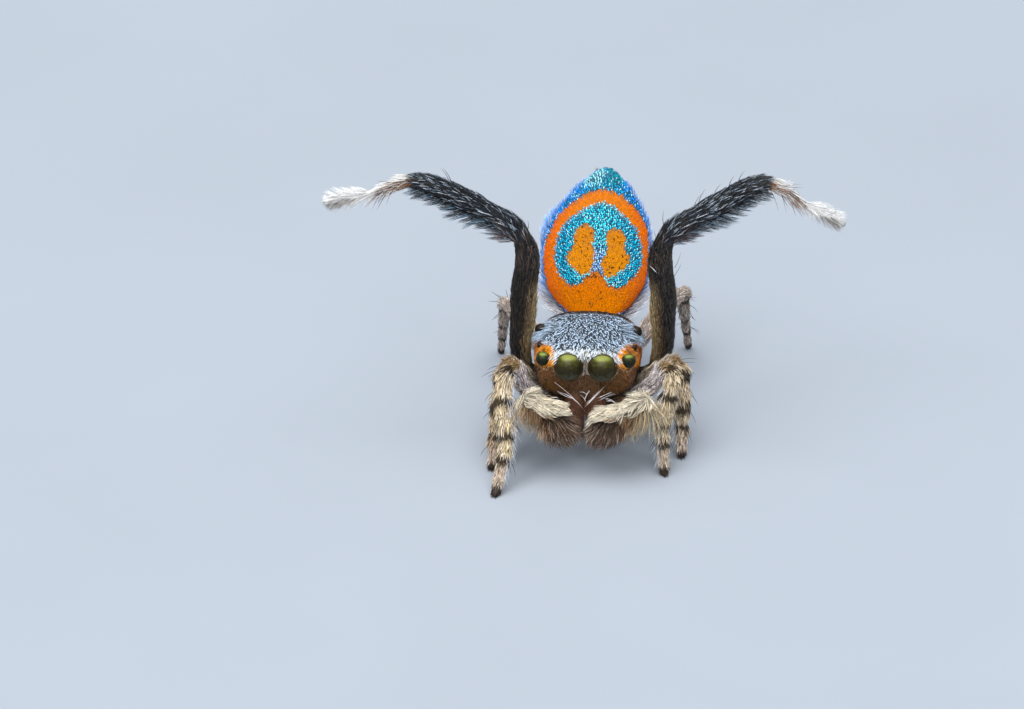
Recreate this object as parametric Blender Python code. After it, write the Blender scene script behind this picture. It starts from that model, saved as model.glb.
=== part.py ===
"""Peacock spider, a male, life size, with its abdomen and third legs raised.

Every size below is in millimetres. X runs to the animal's left, Y from the face to the rear
and Z up from the ground, with Y = 0 at the centres of the big front eyes. finish() turns the
model into metres and sets its origin under the middle of it, on the ground.
"""

import math
import random
from dataclasses import dataclass

import bmesh
import bpy
from mathutils import Matrix, Vector
from mathutils.geometry import interpolate_bezier

METRES = 0.001
GAP = 0.02
BODY_YAW = math.radians(-3.0)
SIDES = ((1, "left"), (-1, "right"))

# Carapace: distance behind the face, half width, top, widest height and lower edge
CARAPACE_STATIONS = (
    (0.00, 0.68, 2.02, 1.62, 1.27),
    (0.04, 0.76, 2.07, 1.62, 1.23),
    (0.16, 0.82, 2.11, 1.62, 1.14),
    (0.45, 0.86, 2.13, 1.60, 1.02),
    (0.80, 0.885, 2.14, 1.58, 0.95),
    (1.20, 0.89, 2.13, 1.55, 0.92),
    (1.55, 0.84, 2.03, 1.50, 0.92),
    (1.85, 0.76, 1.84, 1.42, 0.92),
    (2.10, 0.61, 1.60, 1.33, 0.95),
    (2.28, 0.41, 1.40, 1.25, 1.00),
    (2.36, 0.20, 1.28, 1.20, 1.08),
)
CARAPACE_SIDES = 24
CARAPACE_ROUNDNESS = 2.5
UNDERSIDE_HEIGHT = 1.12

# Eyes: side offset, distance behind the face, height, radius, segments round and along
EYES = {
    "anterior_median": (0.277, 0.00, 1.85, 0.235, 16, 9),
    "anterior_lateral": (0.700, 0.13, 1.91, 0.122, 10, 7),
    "posterior_median": (0.775, 0.55, 1.92, 0.050, 8, 6),
    "posterior_lateral": (0.785, 1.02, 1.95, 0.100, 10, 6),
}

STERNUM_CENTRE = Vector((0.0, 1.22, 1.10))
STERNUM_RADII = Vector((0.44, 0.88, 0.30))

# Chelicera: points down the middle of the animal's left one, with the radius at each
CHELICERA_POINTS = (
    (0.160, 0.20, 1.40, 0.150),
    (0.185, 0.14, 1.16, 0.175),
    (0.175, 0.08, 0.90, 0.165),
    (0.125, 0.05, 0.68, 0.115),
    (0.062, 0.06, 0.52, 0.050),
)

# Pedipalp: root, femur and patella, with the radius at each
PALP_STALK = (
    (0.20, 0.46, 1.00, 0.090),
    (0.50, 0.24, 1.06, 0.100),
    (0.80, -0.06, 1.20, 0.120),
)
# The bend, shin and end of each palp's tuft, which the animal holds a little differently
PALP_TUFTS = {
    "left": (
        (0.97, -0.30, 1.37, 0.150),
        (0.60, -0.45, 1.29, 0.135),
        (0.32, -0.52, 1.24, 0.120),
        (0.10, -0.54, 1.11, 0.040),
    ),
    "right": (
        (0.94, -0.35, 1.39, 0.145),
        (0.64, -0.45, 1.33, 0.135),
        (0.42, -0.49, 1.30, 0.120),
        (0.21, -0.53, 1.25, 0.050),
    ),
}
PALP_TIP_CENTRES = {"left": Vector((0.40, -0.40, 0.94)), "right": Vector((0.46, -0.40, 0.94))}
PALP_TIP_RADII = Vector((0.32, 0.16, 0.25))
PALP_TIP_TILT = math.radians(22.0)
# Rows of fuzz on the palp's tip: height on its ball, where each row's locks stand to the side
PALP_FUZZ_ROWS = ((0.35, (-0.85, -0.25, 0.35, 0.9)), (-0.35, (-0.6, 0.0, 0.6, 0.95)))
PALP_FUZZ_LIE = Vector((-0.5, 0.0, -0.85))
PALP_FUZZ_DEPTH = 0.8
PALP_FUZZ_LENGTH = 0.34
PALP_FUZZ_WIDTH = 0.16
PALP_FUZZ_RISE = math.radians(26.0)

PEDICEL_POINTS = (
    (0.04, 2.10, 1.22, 0.11),
    (0.06, 2.40, 1.18, 0.11),
    (0.09, 2.80, 1.16, 0.12),
)

# Abdomen: it stands up behind the body with its upper side to the front
ABDOMEN_BASE = Vector((0.18, 2.64, 0.98))
ABDOMEN_LEAN = math.radians(12.0)
ABDOMEN_SIDE_BEND = 0.0444
ABDOMEN_BEND_START = 0.80
# Distance from the base, half width, depth to the front and depth to the rear
ABDOMEN_STATIONS = (
    (0.00, 0.16, 0.12, 0.16),
    (0.10, 0.30, 0.18, 0.36),
    (0.30, 0.46, 0.22, 0.58),
    (0.60, 0.71, 0.24, 0.74),
    (0.94, 0.88, 0.25, 0.80),
    (1.35, 0.92, 0.25, 0.78),
    (1.70, 0.90, 0.24, 0.70),
    (2.06, 0.765, 0.21, 0.57),
    (2.30, 0.62, 0.18, 0.46),
    (2.50, 0.48, 0.15, 0.36),
    (2.68, 0.32, 0.12, 0.25),
    (2.80, 0.19, 0.08, 0.15),
    (2.86, 0.08, 0.04, 0.06),
)
ABDOMEN_SIDES = 24
ABDOMEN_ROUNDNESS = 2.3

# Fringe of hair along both rims of the abdomen, longest at its base
FRINGE_FIRST = 0.32
FRINGE_LAST = 2.05
FRINGE_LOCKS = 9
FRINGE_BASE_LENGTH = 0.44
FRINGE_TIP_LENGTH = 0.26
FRINGE_WIDTH = 0.15
FRINGE_DEPTH = 0.085
FRINGE_RISE = math.radians(34.0)
FRINGE_SETTLE = math.radians(12.0)

# Spinnerets: where they stand on the abdomen, how far they lean to its rear, root and fingers
SPINNERET_STATION = 2.34
SPINNERET_DEPTH = 0.38
SPINNERET_LEAN = 0.55
SPINNERET_ROOT = ((-0.04, 0.10), (0.14, 0.11), (0.20, 0.09))
SPINNERET_FINGER = (0.10, 0.33)
SPINNERET_RADII = (0.055, 0.030)
SPINNERET_SPREAD = (0.045, 0.072)

LEG_SIDES_RESOLUTION = 2
SPAN_STEPS = 3
FOOT_DEPTH = 0.05

# A coated part's core, as a share of the radius out to the tips of its hair
CORE_SHARE = 0.74
LOCK_SEED = 7
# Sections of a lock: share of its length, of its width and of its thickness
LOCK_SECTIONS = ((0.0, 0.75, 1.0), (0.40, 1.0, 0.9), (0.75, 0.66, 0.6))
LOCK_FLATNESS = 0.40
ROOT_DEPTH = 0.62
LENGTH_PLAY = 0.14
ANGLE_PLAY = math.radians(5.0)

DOWN = Vector((0.0, 0.0, -1.0))
UP = Vector((0.0, 0.0, 1.0))
FRONT = Vector((0.0, -1.0, 0.0))


@dataclass(frozen=True)
class Coat:
    """Rings of locks on one part: where they are, how many, and how they lie.

    toward and spread give the side that the locks grow on, first and last the shares of the
    part's length where the rings start and end, and rise and settle, in degrees, how steeply
    a lock leaves the surface and how steeply its tip lies.
    """

    toward: Vector
    spread: float
    rings: int
    around: int
    first: float
    last: float
    length: float
    width: float
    rise: float
    settle: float


COATS = {
    "walking_femur": [Coat(UP, 180.0, 2, 4, 0.14, 0.54, 0.44, 0.17, 24.0, 4.0)],
    "walking_shin": [Coat(UP, 180.0, 3, 4, 0.10, 0.66, 0.38, 0.17, 26.0, 4.0)],
    "walking_foot": [Coat(UP, 180.0, 1, 4, 0.16, 0.16, 0.32, 0.11, 20.0, 2.0)],
    "hind_femur": [Coat(UP, 180.0, 2, 3, 0.14, 0.54, 0.44, 0.16, 22.0, 4.0)],
    "hind_shin": [Coat(UP, 180.0, 2, 4, 0.14, 0.56, 0.34, 0.12, 26.0, 4.0)],
    "hind_foot": [Coat(UP, 180.0, 1, 3, 0.16, 0.16, 0.30, 0.09, 20.0, 2.0)],
    "raised_femur": [Coat(FRONT, 180.0, 4, 3, 0.08, 0.78, 0.48, 0.18, 18.0, 2.0)],
    "raised_shin": [
        Coat(DOWN, 34.0, 9, 2, 0.10, 0.90, 0.38, 0.12, 56.0, 34.0),
        Coat(UP, 110.0, 3, 3, 0.08, 0.72, 0.46, 0.16, 16.0, 2.0),
    ],
    "raised_foot": [
        Coat(DOWN, 50.0, 3, 2, 0.08, 0.48, 0.36, 0.11, 44.0, 24.0),
        Coat(UP, 180.0, 1, 6, 0.74, 0.74, 0.42, 0.11, 18.0, 12.0),
    ],
    "pedipalp": [Coat(UP, 80.0, 2, 3, 0.57, 0.71, 0.32, 0.16, 22.0, 4.0)],
}


@dataclass(frozen=True)
class Leg:
    """Kind and joints of one leg, and how far its femur, shin and foot bow out."""

    kind: str
    root: tuple
    trochanter: tuple
    knee: tuple
    ankle: tuple
    foot: tuple
    femur_bow: tuple
    shin_bow: tuple
    foot_bow: tuple


# Radii out to the coat at the root, trochanter, femur, knee, shin, ankle, foot middle and foot
LEG_RADII = {
    "walking": (0.13, 0.13, 0.128, 0.150, 0.165, 0.138, 0.112, 0.085),
    "hind": (0.13, 0.14, 0.150, 0.130, 0.120, 0.090, 0.080, 0.075),
    "raised": (0.13, 0.14, 0.205, 0.190, 0.185, 0.145, 0.085, 0.070),
}

LEGS = {
    "leg_1_left": Leg(
        "walking", (0.28, 0.62, 0.95), (0.70, 0.50, 0.97), (1.37, 0.22, 1.65), (1.27, -0.12, 0.76),
        (1.30, -0.36, 0.0), (0.02, -0.06, -0.02), (0.03, -0.08, 0.02), (0.0, -0.03, 0.0),
    ),
    "leg_1_right": Leg(
        "walking", (-0.28, 0.64, 0.95), (-0.68, 0.50, 0.97), (-1.21, 0.22, 1.69), (-1.29, -0.58, 0.80),
        (-1.48, -1.03, 0.0), (-0.05, -0.06, -0.02), (-0.10, -0.02, 0.04), (0.0, -0.03, 0.0),
    ),
    "leg_2_left": Leg(
        "walking", (0.30, 1.00, 0.94), (0.82, 0.93, 0.96), (1.52, 0.72, 1.46), (1.59, 0.40, 0.58),
        (1.59, 0.20, 0.0), (0.0, 0.0, 0.06), (0.03, -0.04, 0.02), (0.0, -0.02, 0.0),
    ),
    "leg_2_right": Leg(
        "walking", (-0.30, 1.02, 0.94), (-0.76, 0.93, 0.96), (-1.30, 0.66, 1.46), (-1.47, 0.09, 0.55),
        (-1.54, -0.18, 0.0), (0.0, 0.0, 0.06), (-0.01, -0.03, 0.05), (0.0, -0.02, 0.0),
    ),
    "leg_3_left": Leg(
        "raised", (0.28, 1.38, 0.94), (1.14, 1.32, 1.05), (1.30, 1.14, 3.57), (2.98, 1.16, 4.65),
        (4.22, 1.10, 3.95), (0.07, 0.0, 0.0), (0.0, 0.0, 0.13), (0.0, 0.0, -0.03),
    ),
    "leg_3_right": Leg(
        "raised", (-0.26, 1.40, 0.94), (-0.95, 1.38, 1.04), (-1.03, 1.14, 3.61), (-2.84, 1.16, 4.70),
        (-4.26, 1.11, 4.34), (-0.03, 0.02, 0.0), (0.0, 0.0, 0.17), (0.0, 0.0, -0.04),
    ),
    "leg_4_left": Leg(
        "hind", (0.28, 1.74, 0.96), (0.72, 1.95, 0.97), (1.63, 2.98, 1.56), (1.70, 3.52, 0.72),
        (1.77, 3.84, 0.0), (0.0, 0.0, 0.08), (0.0, 0.04, 0.0), (0.0, 0.02, 0.0),
    ),
    "leg_4_right": Leg(
        "hind", (-0.24, 1.78, 0.96), (-0.62, 1.98, 0.97), (-1.30, 2.88, 1.42), (-1.35, 3.38, 0.68),
        (-1.39, 3.68, 0.0), (0.0, 0.0, 0.08), (0.0, 0.04, 0.0), (0.0, 0.02, 0.0),
    ),
}

# Colour and roughness of each sub-part's material, by the start of its name
FINISHES = {
    "carapace": ((0.40, 0.46, 0.54, 1.0), 0.55),
    "sternum": ((0.16, 0.11, 0.07, 1.0), 0.60),
    "pedicel": ((0.10, 0.06, 0.04, 1.0), 0.50),
    "abdomen": ((1.00, 0.24, 0.00, 1.0), 0.45),
    "spinnerets": ((0.20, 0.14, 0.09, 1.0), 0.60),
    "eye": ((0.05, 0.07, 0.02, 1.0), 0.05),
    "chelicera": ((0.09, 0.035, 0.018, 1.0), 0.45),
    "pedipalp": ((0.72, 0.64, 0.50, 1.0), 0.60),
    "palp_tip": ((0.11, 0.06, 0.04, 1.0), 0.70),
    "leg_1": ((0.52, 0.40, 0.24, 1.0), 0.60),
    "leg_2": ((0.52, 0.40, 0.24, 1.0), 0.60),
    "leg_3": ((0.02, 0.018, 0.02, 1.0), 0.50),
    "leg_4": ((0.40, 0.31, 0.20, 1.0), 0.60),
}
SMOOTH_ANGLE = math.radians(40.0)


def clear_scene():
    for obj in list(bpy.data.objects):
        bpy.data.objects.remove(obj, do_unlink=True)


def new_collection(name):
    collection = bpy.data.collections.new(name)
    bpy.context.scene.collection.children.link(collection)
    return collection


def give_material(obj):
    """Gives the object a material of its own, from the finish for its kind of part."""
    kind = next(start for start in FINISHES if obj.name.startswith(start))
    colour, roughness = FINISHES[kind]
    surface = bpy.data.materials.new(obj.name + "_surface")
    surface.use_nodes = True
    shader = surface.node_tree.nodes["Principled BSDF"]
    shader.inputs["Base Color"].default_value = colour
    shader.inputs["Roughness"].default_value = roughness
    shader.inputs["Metallic"].default_value = 0.0
    obj.data.materials.clear()
    obj.data.materials.append(surface)


def new_object(name, mesh, collection):
    obj = bpy.data.objects.new(name, mesh)
    collection.objects.link(obj)
    return obj


def turned(point):
    """A point of the straight body, turned by the body's small yaw."""
    return Matrix.Rotation(BODY_YAW, 4, "Z") @ Vector(point)


def mirrored(points, side):
    """Points of the animal's left side, with their radii, for side +1 (left) or -1 (right)."""
    return [(*turned((side * x, y, z)), radius) for x, y, z, radius in points]


def smooth_line(points, steps=SPAN_STEPS):
    """Points (x, y, z, radius) along a smooth curve through the given ones."""
    spots = [Vector(point[:3]) for point in points]
    radii = [point[3] for point in points]
    ends = [spots[0] * 2 - spots[1], *spots, spots[-1] * 2 - spots[-2]]
    line = []
    for index, (near, far) in enumerate(zip(spots, spots[1:])):
        length = (far - near).length
        lead = (ends[index + 2] - ends[index]).normalized() * length / 3
        trail = (ends[index + 3] - ends[index + 1]).normalized() * length / 3
        span = interpolate_bezier(near, near + lead, far - trail, far, steps + 1)
        for step, spot in enumerate(span[:-1]):
            share = step / steps
            line.append((*spot, radii[index] * (1 - share) + radii[index + 1] * share))
    line.append((*spots[-1], radii[-1]))
    return line


def tube(name, line, collection, resolution=LEG_SIDES_RESOLUTION):
    """A closed mesh round a line of points with radii, made from a bevelled curve."""
    curve = bpy.data.curves.new(name + "_curve", "CURVE")
    curve.dimensions = "3D"
    curve.bevel_depth = 1.0
    curve.bevel_resolution = resolution
    curve.use_fill_caps = True
    spline = curve.splines.new("POLY")
    spline.points.add(len(line) - 1)
    for point, (x, y, z, radius) in zip(spline.points, line):
        point.co = (x, y, z, 1.0)
        point.radius = radius
    guide = new_object(name + "_guide", curve, collection)
    evaluated = guide.evaluated_get(bpy.context.evaluated_depsgraph_get())
    mesh = bpy.data.meshes.new_from_object(evaluated)
    bpy.data.objects.remove(guide)
    welded = bmesh.new()
    welded.from_mesh(mesh)
    bmesh.ops.remove_doubles(welded, verts=welded.verts, dist=1e-5)
    welded.to_mesh(mesh)
    welded.free()
    mesh.name = name
    return new_object(name, mesh, collection)


def loft(name, rings, collection, tip=None):
    """A closed mesh through rings with as many points each; its last end is flat or runs to a tip."""
    shell = bmesh.new()
    loops = [[shell.verts.new(point) for point in ring] for ring in rings]
    for near, far in zip(loops, loops[1:]):
        for index, corner in enumerate(near):
            shell.faces.new((corner, near[index - 1], far[index - 1], far[index]))
    shell.faces.new(loops[0])
    if tip is None:
        shell.faces.new(loops[-1])
    else:
        point = shell.verts.new(tip)
        for index, corner in enumerate(loops[-1]):
            shell.faces.new((corner, loops[-1][index - 1], point))
    bmesh.ops.recalc_face_normals(shell, faces=shell.faces)
    mesh = bpy.data.meshes.new(name)
    shell.to_mesh(mesh)
    shell.free()
    return new_object(name, mesh, collection)


def lock(root, out, along, length, width, rise, settle, collection):
    """A flat tapered lock that leaves its root at the angle rise and bends to the angle settle."""
    side = along.cross(out).normalized() * width / 2
    half_thickness = width * LOCK_FLATNESS / 2
    spot, reached, rings = root.copy(), 0.0, []
    for share, breadth, thickness in (*LOCK_SECTIONS, (1.0, 0.0, 0.0)):
        angle = rise * (1 - share) + settle * share
        heading = along * math.cos(angle) + out * math.sin(angle)
        spot = spot + heading * (share - reached) * length
        reached = share
        face = (out * math.cos(angle) - along * math.sin(angle)) * half_thickness * thickness
        rings.append([spot + side * breadth, spot + face, spot - side * breadth])
    return loft("lock", rings[:-1], collection, tip=spot)


def line_spot(line, share):
    """Position, radius and direction of the line at this share of its length."""
    spots = [Vector(point[:3]) for point in line]
    lengths = [(far - near).length for near, far in zip(spots, spots[1:])]
    left = share * sum(lengths)
    index = 0
    while left > lengths[index] and index < len(lengths) - 1:
        left -= lengths[index]
        index += 1
    part = left / lengths[index]
    spot = spots[index].lerp(spots[index + 1], part)
    radius = line[index][3] * (1 - part) + line[index + 1][3] * part
    return spot, radius, (spots[index + 1] - spots[index]).normalized()


def grow_coat(obj, line, coats, draw):
    """Grows the coats' locks on a part with this middle line and fuses them with it."""
    pieces = new_collection(obj.name + "_locks")
    for coat in coats:
        step = 2 * coat.spread / coat.around
        for ring in range(coat.rings):
            share = coat.first + (coat.last - coat.first) * ring / max(coat.rings - 1, 1)
            spot, radius, along = line_spot(line, share)
            middle_way = (coat.toward - along * coat.toward.dot(along)).normalized()
            stagger = 0.25 if ring % 2 else -0.25
            for index in range(coat.around):
                angle = math.radians(-coat.spread + step * (index + 0.5 + stagger))
                angle += draw.uniform(-1.0, 1.0) * ANGLE_PLAY
                out = Matrix.Rotation(angle, 4, along) @ middle_way
                lock(
                    spot + out * radius * ROOT_DEPTH,
                    out,
                    along,
                    coat.length * (1 + draw.uniform(-1.0, 1.0) * LENGTH_PLAY),
                    coat.width,
                    math.radians(coat.rise) + draw.uniform(-1.0, 1.0) * ANGLE_PLAY,
                    math.radians(coat.settle),
                    pieces,
                )
    fuse(obj, pieces)


def ball(name, placing, around, along, collection):
    """A sphere of radius 1 under the matrix placing, with its poles on the matrix's Y axis."""
    shell = bmesh.new()
    upright = Matrix.Rotation(math.radians(90.0), 4, "X")
    bmesh.ops.create_uvsphere(
        shell, u_segments=around, v_segments=along, radius=1.0, matrix=placing @ upright
    )
    mesh = bpy.data.meshes.new(name)
    shell.to_mesh(mesh)
    shell.free()
    return new_object(name, mesh, collection)


def rounded(angle, roundness):
    """Cosine and sine of an angle, squared off so that the section fills its corners."""
    cosine, sine = math.cos(angle), math.sin(angle)
    power = 2.0 / roundness
    return math.copysign(abs(cosine) ** power, cosine), math.copysign(abs(sine) ** power, sine)


def cut_flat(obj, point, normal):
    """Removes what lies on the side of the plane that its normal points to, and closes the cut."""
    shell = bmesh.new()
    shell.from_mesh(obj.data)
    everything = [*shell.verts, *shell.edges, *shell.faces]
    result = bmesh.ops.bisect_plane(
        shell, geom=everything, dist=1e-6, plane_co=point, plane_no=normal, clear_outer=True
    )
    edges = [item for item in result["geom_cut"] if isinstance(item, bmesh.types.BMEdge)]
    bmesh.ops.contextual_create(shell, geom=edges)
    bmesh.ops.recalc_face_normals(shell, faces=shell.faces)
    shell.to_mesh(obj.data)
    shell.free()


def applied(obj, modifier_name):
    """Replaces the object's mesh with what its modifier makes of it."""
    evaluated = obj.evaluated_get(bpy.context.evaluated_depsgraph_get())
    mesh = bpy.data.meshes.new_from_object(evaluated)
    obj.modifiers.remove(obj.modifiers[modifier_name])
    mesh.name = obj.name
    obj.data = mesh


def largest_shell(obj):
    """Keeps only the largest closed surface of the object's mesh."""
    shell = bmesh.new()
    shell.from_mesh(obj.data)
    left = set(shell.faces)
    groups = []
    while left:
        group, front = set(), [left.pop()]
        while front:
            face = front.pop()
            group.add(face)
            for edge in face.edges:
                for other in edge.link_faces:
                    if other in left:
                        left.remove(other)
                        front.append(other)
        groups.append(group)
    groups.sort(key=lambda faces: sum(face.calc_area() for face in faces))
    for group in groups[:-1]:
        bmesh.ops.delete(shell, geom=list(group), context="FACES")
    shell.to_mesh(obj.data)
    shell.free()


def cut_by(obj, cutters):
    """Subtracts each cutter, which stays as it is, and keeps the largest piece."""
    for cutter in cutters:
        step = obj.modifiers.new("cut", "BOOLEAN")
        step.operation = "DIFFERENCE"
        step.object = cutter
        applied(obj, "cut")
    largest_shell(obj)


def carapace_shell(name, grow, collection):
    """The upper shell of the front body, made wider all round by grow."""
    rings = []
    first, last = CARAPACE_STATIONS[0][0], CARAPACE_STATIONS[-1][0]
    for back, half_width, top, middle, low in CARAPACE_STATIONS:
        shift = -grow if back == first else grow if back == last else 0.0
        ring = []
        for index in range(CARAPACE_SIDES):
            cosine, sine = rounded(math.tau * index / CARAPACE_SIDES, CARAPACE_ROUNDNESS)
            reach = (top - middle if sine > 0 else middle - low) + grow
            ring.append(turned(((half_width + grow) * cosine, back + shift, middle + reach * sine)))
        rings.append(ring)
    shell = loft(name, rings, collection)
    cut_flat(shell, (0.0, 0.0, UNDERSIDE_HEIGHT - grow), (0.0, 0.0, -1.0))
    return shell


def eye_ball(name, kind, side, grow, collection):
    offset, back, height, radius, around, along = EYES[kind]
    place = Matrix.Translation(turned((side * offset, back, height)))
    return ball(name, place @ Matrix.Scale(radius + grow, 4), around, along, collection)


def sternum_shell(name, grow, collection):
    """The plate between the legs, flat on top where it meets the carapace."""
    radii = STERNUM_RADII + Vector((grow, grow, grow))
    place = Matrix.Translation(turned(STERNUM_CENTRE)) @ Matrix.Rotation(BODY_YAW, 4, "Z")
    plate = ball(name, place @ Matrix.Diagonal((*radii, 1.0)), 20, 12, collection)
    cut_flat(plate, STERNUM_CENTRE + Vector((0.0, 0.0, grow)), (0.0, 0.0, 1.0))
    return plate


def abdomen_frame():
    """Directions from base to tip, and out of the upper side, which faces the front."""
    rise = Vector((0.0, math.sin(ABDOMEN_LEAN), math.cos(ABDOMEN_LEAN)))
    front = Vector((0.0, -math.cos(ABDOMEN_LEAN), math.sin(ABDOMEN_LEAN)))
    return rise, front


def abdomen_centre(station):
    """The point on the abdomen's middle line at this distance from its base."""
    rise, _ = abdomen_frame()
    past = max(station - ABDOMEN_BEND_START, 0.0)
    return ABDOMEN_BASE + rise * station + Vector((ABDOMEN_SIDE_BEND * past * past, 0.0, 0.0))


def abdomen_shell(name, grow, collection):
    _, front = abdomen_frame()
    rings = []
    first, last = ABDOMEN_STATIONS[0][0], ABDOMEN_STATIONS[-1][0]
    for station, half_width, fore, aft in ABDOMEN_STATIONS:
        shift = -grow if station == first else grow if station == last else 0.0
        centre = abdomen_centre(station + shift)
        ring = []
        for index in range(ABDOMEN_SIDES):
            cosine, sine = rounded(math.tau * index / ABDOMEN_SIDES, ABDOMEN_ROUNDNESS)
            depth = (fore if sine > 0 else aft) + grow
            side = Vector(((half_width + grow) * cosine, 0.0, 0.0))
            ring.append(centre + side + front * depth * sine)
        rings.append(ring)
    return loft(name, rings, collection)


def abdomen_half_width(station):
    """Half width of the abdomen at this distance from its base."""
    for near, far in zip(ABDOMEN_STATIONS, ABDOMEN_STATIONS[1:]):
        if station <= far[0]:
            part = (station - near[0]) / (far[0] - near[0])
            return near[1] * (1 - part) + far[1] * part
    return ABDOMEN_STATIONS[-1][1]


def grow_fringe(obj, draw):
    """Grows the hair along both rims of the abdomen and fuses it with it."""
    rise, _ = abdomen_frame()
    pieces = new_collection(obj.name + "_fringe")
    for side in (1, -1):
        for index in range(FRINGE_LOCKS):
            share = (index + draw.uniform(-0.2, 0.2)) / (FRINGE_LOCKS - 1)
            share = min(max(share, 0.0), 1.0)
            station = FRINGE_FIRST + (FRINGE_LAST - FRINGE_FIRST) * share
            width = abdomen_half_width(station)
            widening = abdomen_half_width(station + FRINGE_WIDTH) - width
            along = (rise * FRINGE_WIDTH + Vector((side * widening, 0.0, 0.0))).normalized()
            out = Vector((side, 0.0, 0.0))
            out = (out - along * out.dot(along)).normalized()
            root = abdomen_centre(station) + Vector((side * (width - FRINGE_DEPTH), 0.0, 0.0))
            length = FRINGE_BASE_LENGTH * (1 - share) + FRINGE_TIP_LENGTH * share
            length *= 1 + draw.uniform(-1.0, 1.0) * LENGTH_PLAY
            lock(root, out, along, length, FRINGE_WIDTH, FRINGE_RISE, FRINGE_SETTLE, pieces)
    fuse(obj, pieces)


def grow_fuzz(obj, place, side, draw):
    """Grows the fuzz on the front of a palp's tip, whose ball has the matrix place."""
    pieces = new_collection(obj.name + "_fuzz")
    lie = turned((PALP_FUZZ_LIE.x * side, PALP_FUZZ_LIE.y, PALP_FUZZ_LIE.z))
    turn = place.inverted().transposed().to_3x3()
    for height, offsets in PALP_FUZZ_ROWS:
        breadth = math.sqrt(1 - height * height)
        for offset in offsets:
            ahead = -math.sqrt(1 - offset * offset)
            spot = Vector((side * offset * breadth, ahead * breadth, height))
            out = (turn @ spot).normalized()
            along = (lie - out * lie.dot(out)).normalized()
            length = PALP_FUZZ_LENGTH * (1 + draw.uniform(-1.0, 1.0) * LENGTH_PLAY)
            rise = PALP_FUZZ_RISE + draw.uniform(-1.0, 1.0) * ANGLE_PLAY
            root = place @ (spot * PALP_FUZZ_DEPTH)
            lock(root, out, along, length, PALP_FUZZ_WIDTH, rise, 0.0, pieces)
    fuse(obj, pieces)


def spinnerets(name, collection, abdomen_cutter):
    """Four short fingers near the tip of the abdomen's lower side, on one root."""
    rise, front = abdomen_frame()
    root = abdomen_centre(SPINNERET_STATION) - front * SPINNERET_DEPTH
    away = (rise - front * SPINNERET_LEAN).normalized()
    points = [(*(root + away * distance), radius) for distance, radius in SPINNERET_ROOT]
    body = tube(name, smooth_line(points, 2), collection)
    fingers = new_collection(name + "_fingers")
    side = Vector((1.0, 0.0, 0.0))
    across = side.cross(away)
    for column, row in ((-1, -1), (-1, 1), (1, -1), (1, 1)):
        beside = side * column + across * row
        ends = zip(SPINNERET_FINGER, SPINNERET_SPREAD, SPINNERET_RADII)
        points = [(*(root + away * far + beside * spread), radius) for far, spread, radius in ends]
        tube(name + "_finger", smooth_line(points, 2), fingers)
    fuse(body, fingers)
    cut_by(body, [abdomen_cutter])


def fuse(obj, pieces):
    """Joins all of a collection's meshes to the object and removes the collection."""
    step = obj.modifiers.new("fuse", "BOOLEAN")
    step.operation = "UNION"
    step.operand_type = "COLLECTION"
    step.collection = pieces
    applied(obj, "fuse")
    for piece in list(pieces.objects):
        bpy.data.objects.remove(piece)
    bpy.data.collections.remove(pieces)
    largest_shell(obj)


def middle(near, far, bow):
    return (Vector(near) + Vector(far)) / 2 + Vector(bow)


def leg_line(leg):
    """The whole leg's middle line with radii, and where its joints lie in it."""
    radii = LEG_RADII[leg.kind]
    points = [
        (*turned(leg.root), radii[0]),
        (*leg.trochanter, radii[1]),
        (*middle(leg.trochanter, leg.knee, leg.femur_bow), radii[2]),
        (*leg.knee, radii[3]),
        (*middle(leg.knee, leg.ankle, leg.shin_bow), radii[4]),
        (*leg.ankle, radii[5]),
        (*middle(leg.ankle, leg.foot, leg.foot_bow), radii[6]),
        (*leg.foot, radii[7]),
    ]
    return smooth_line(points), [step * SPAN_STEPS for step in (1, 3, 5)]


def pulled_back(line, at_start, distance):
    """The line with one end moved along itself by distance, to leave a gap at a joint."""
    end, inner = (0, 1) if at_start else (-1, -2)
    x, y, z, radius = line[end]
    step = Vector(line[inner][:3]) - Vector((x, y, z))
    moved = Vector((x, y, z)) + step.normalized() * distance
    line[end] = (*moved, radius)
    return line


def core_of(line):
    return [(x, y, z, radius * CORE_SHARE) for x, y, z, radius in line]


def build_leg(name, leg, collection, body_cutters, draw):
    line, joints = leg_line(leg)
    coxa_end, knee, ankle = joints
    spans = {
        "coxa": line[: coxa_end + 1],
        "femur": line[coxa_end : knee + 1],
        "shin": line[knee : ankle + 1],
        "foot": line[ankle:],
    }
    for part, span in spans.items():
        if part != "coxa":
            span = pulled_back(list(span), True, GAP / 2)
        if part != "foot":
            span = pulled_back(list(span), False, GAP / 2)
        if part != "coxa":
            span = core_of(span)
        coated = span
        stands = part == "foot" and leg.foot[2] == 0.0
        if stands:
            x, y, z, radius = span[-1]
            span = [*span, (x, y, z - FOOT_DEPTH, radius)]
        obj = tube(name + "_" + part, span, collection)
        if part == "coxa":
            cut_by(obj, body_cutters)
        else:
            grow_coat(obj, coated, COATS[leg.kind + "_" + part], draw)
        if stands:
            cut_flat(obj, (0.0, 0.0, 0.0), (0.0, 0.0, -1.0))


def finish(collection):
    """Sets the origin under the middle of the whole model, in metres, and parents it."""
    corners = [obj.matrix_world @ vert.co for obj in collection.objects for vert in obj.data.vertices]
    middle_x = (min(c.x for c in corners) + max(c.x for c in corners)) / 2
    middle_y = (min(c.y for c in corners) + max(c.y for c in corners)) / 2
    move = Matrix.Scale(METRES, 4) @ Matrix.Translation((-middle_x, -middle_y, 0.0))
    stand = new_object("spider_origin", None, collection)
    for obj in collection.objects:
        if obj.type == "MESH":
            obj.data.transform(move)
            obj.data.shade_smooth()
            obj.data.set_sharp_from_angle(angle=SMOOTH_ANGLE)
            obj.parent = stand


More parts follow.
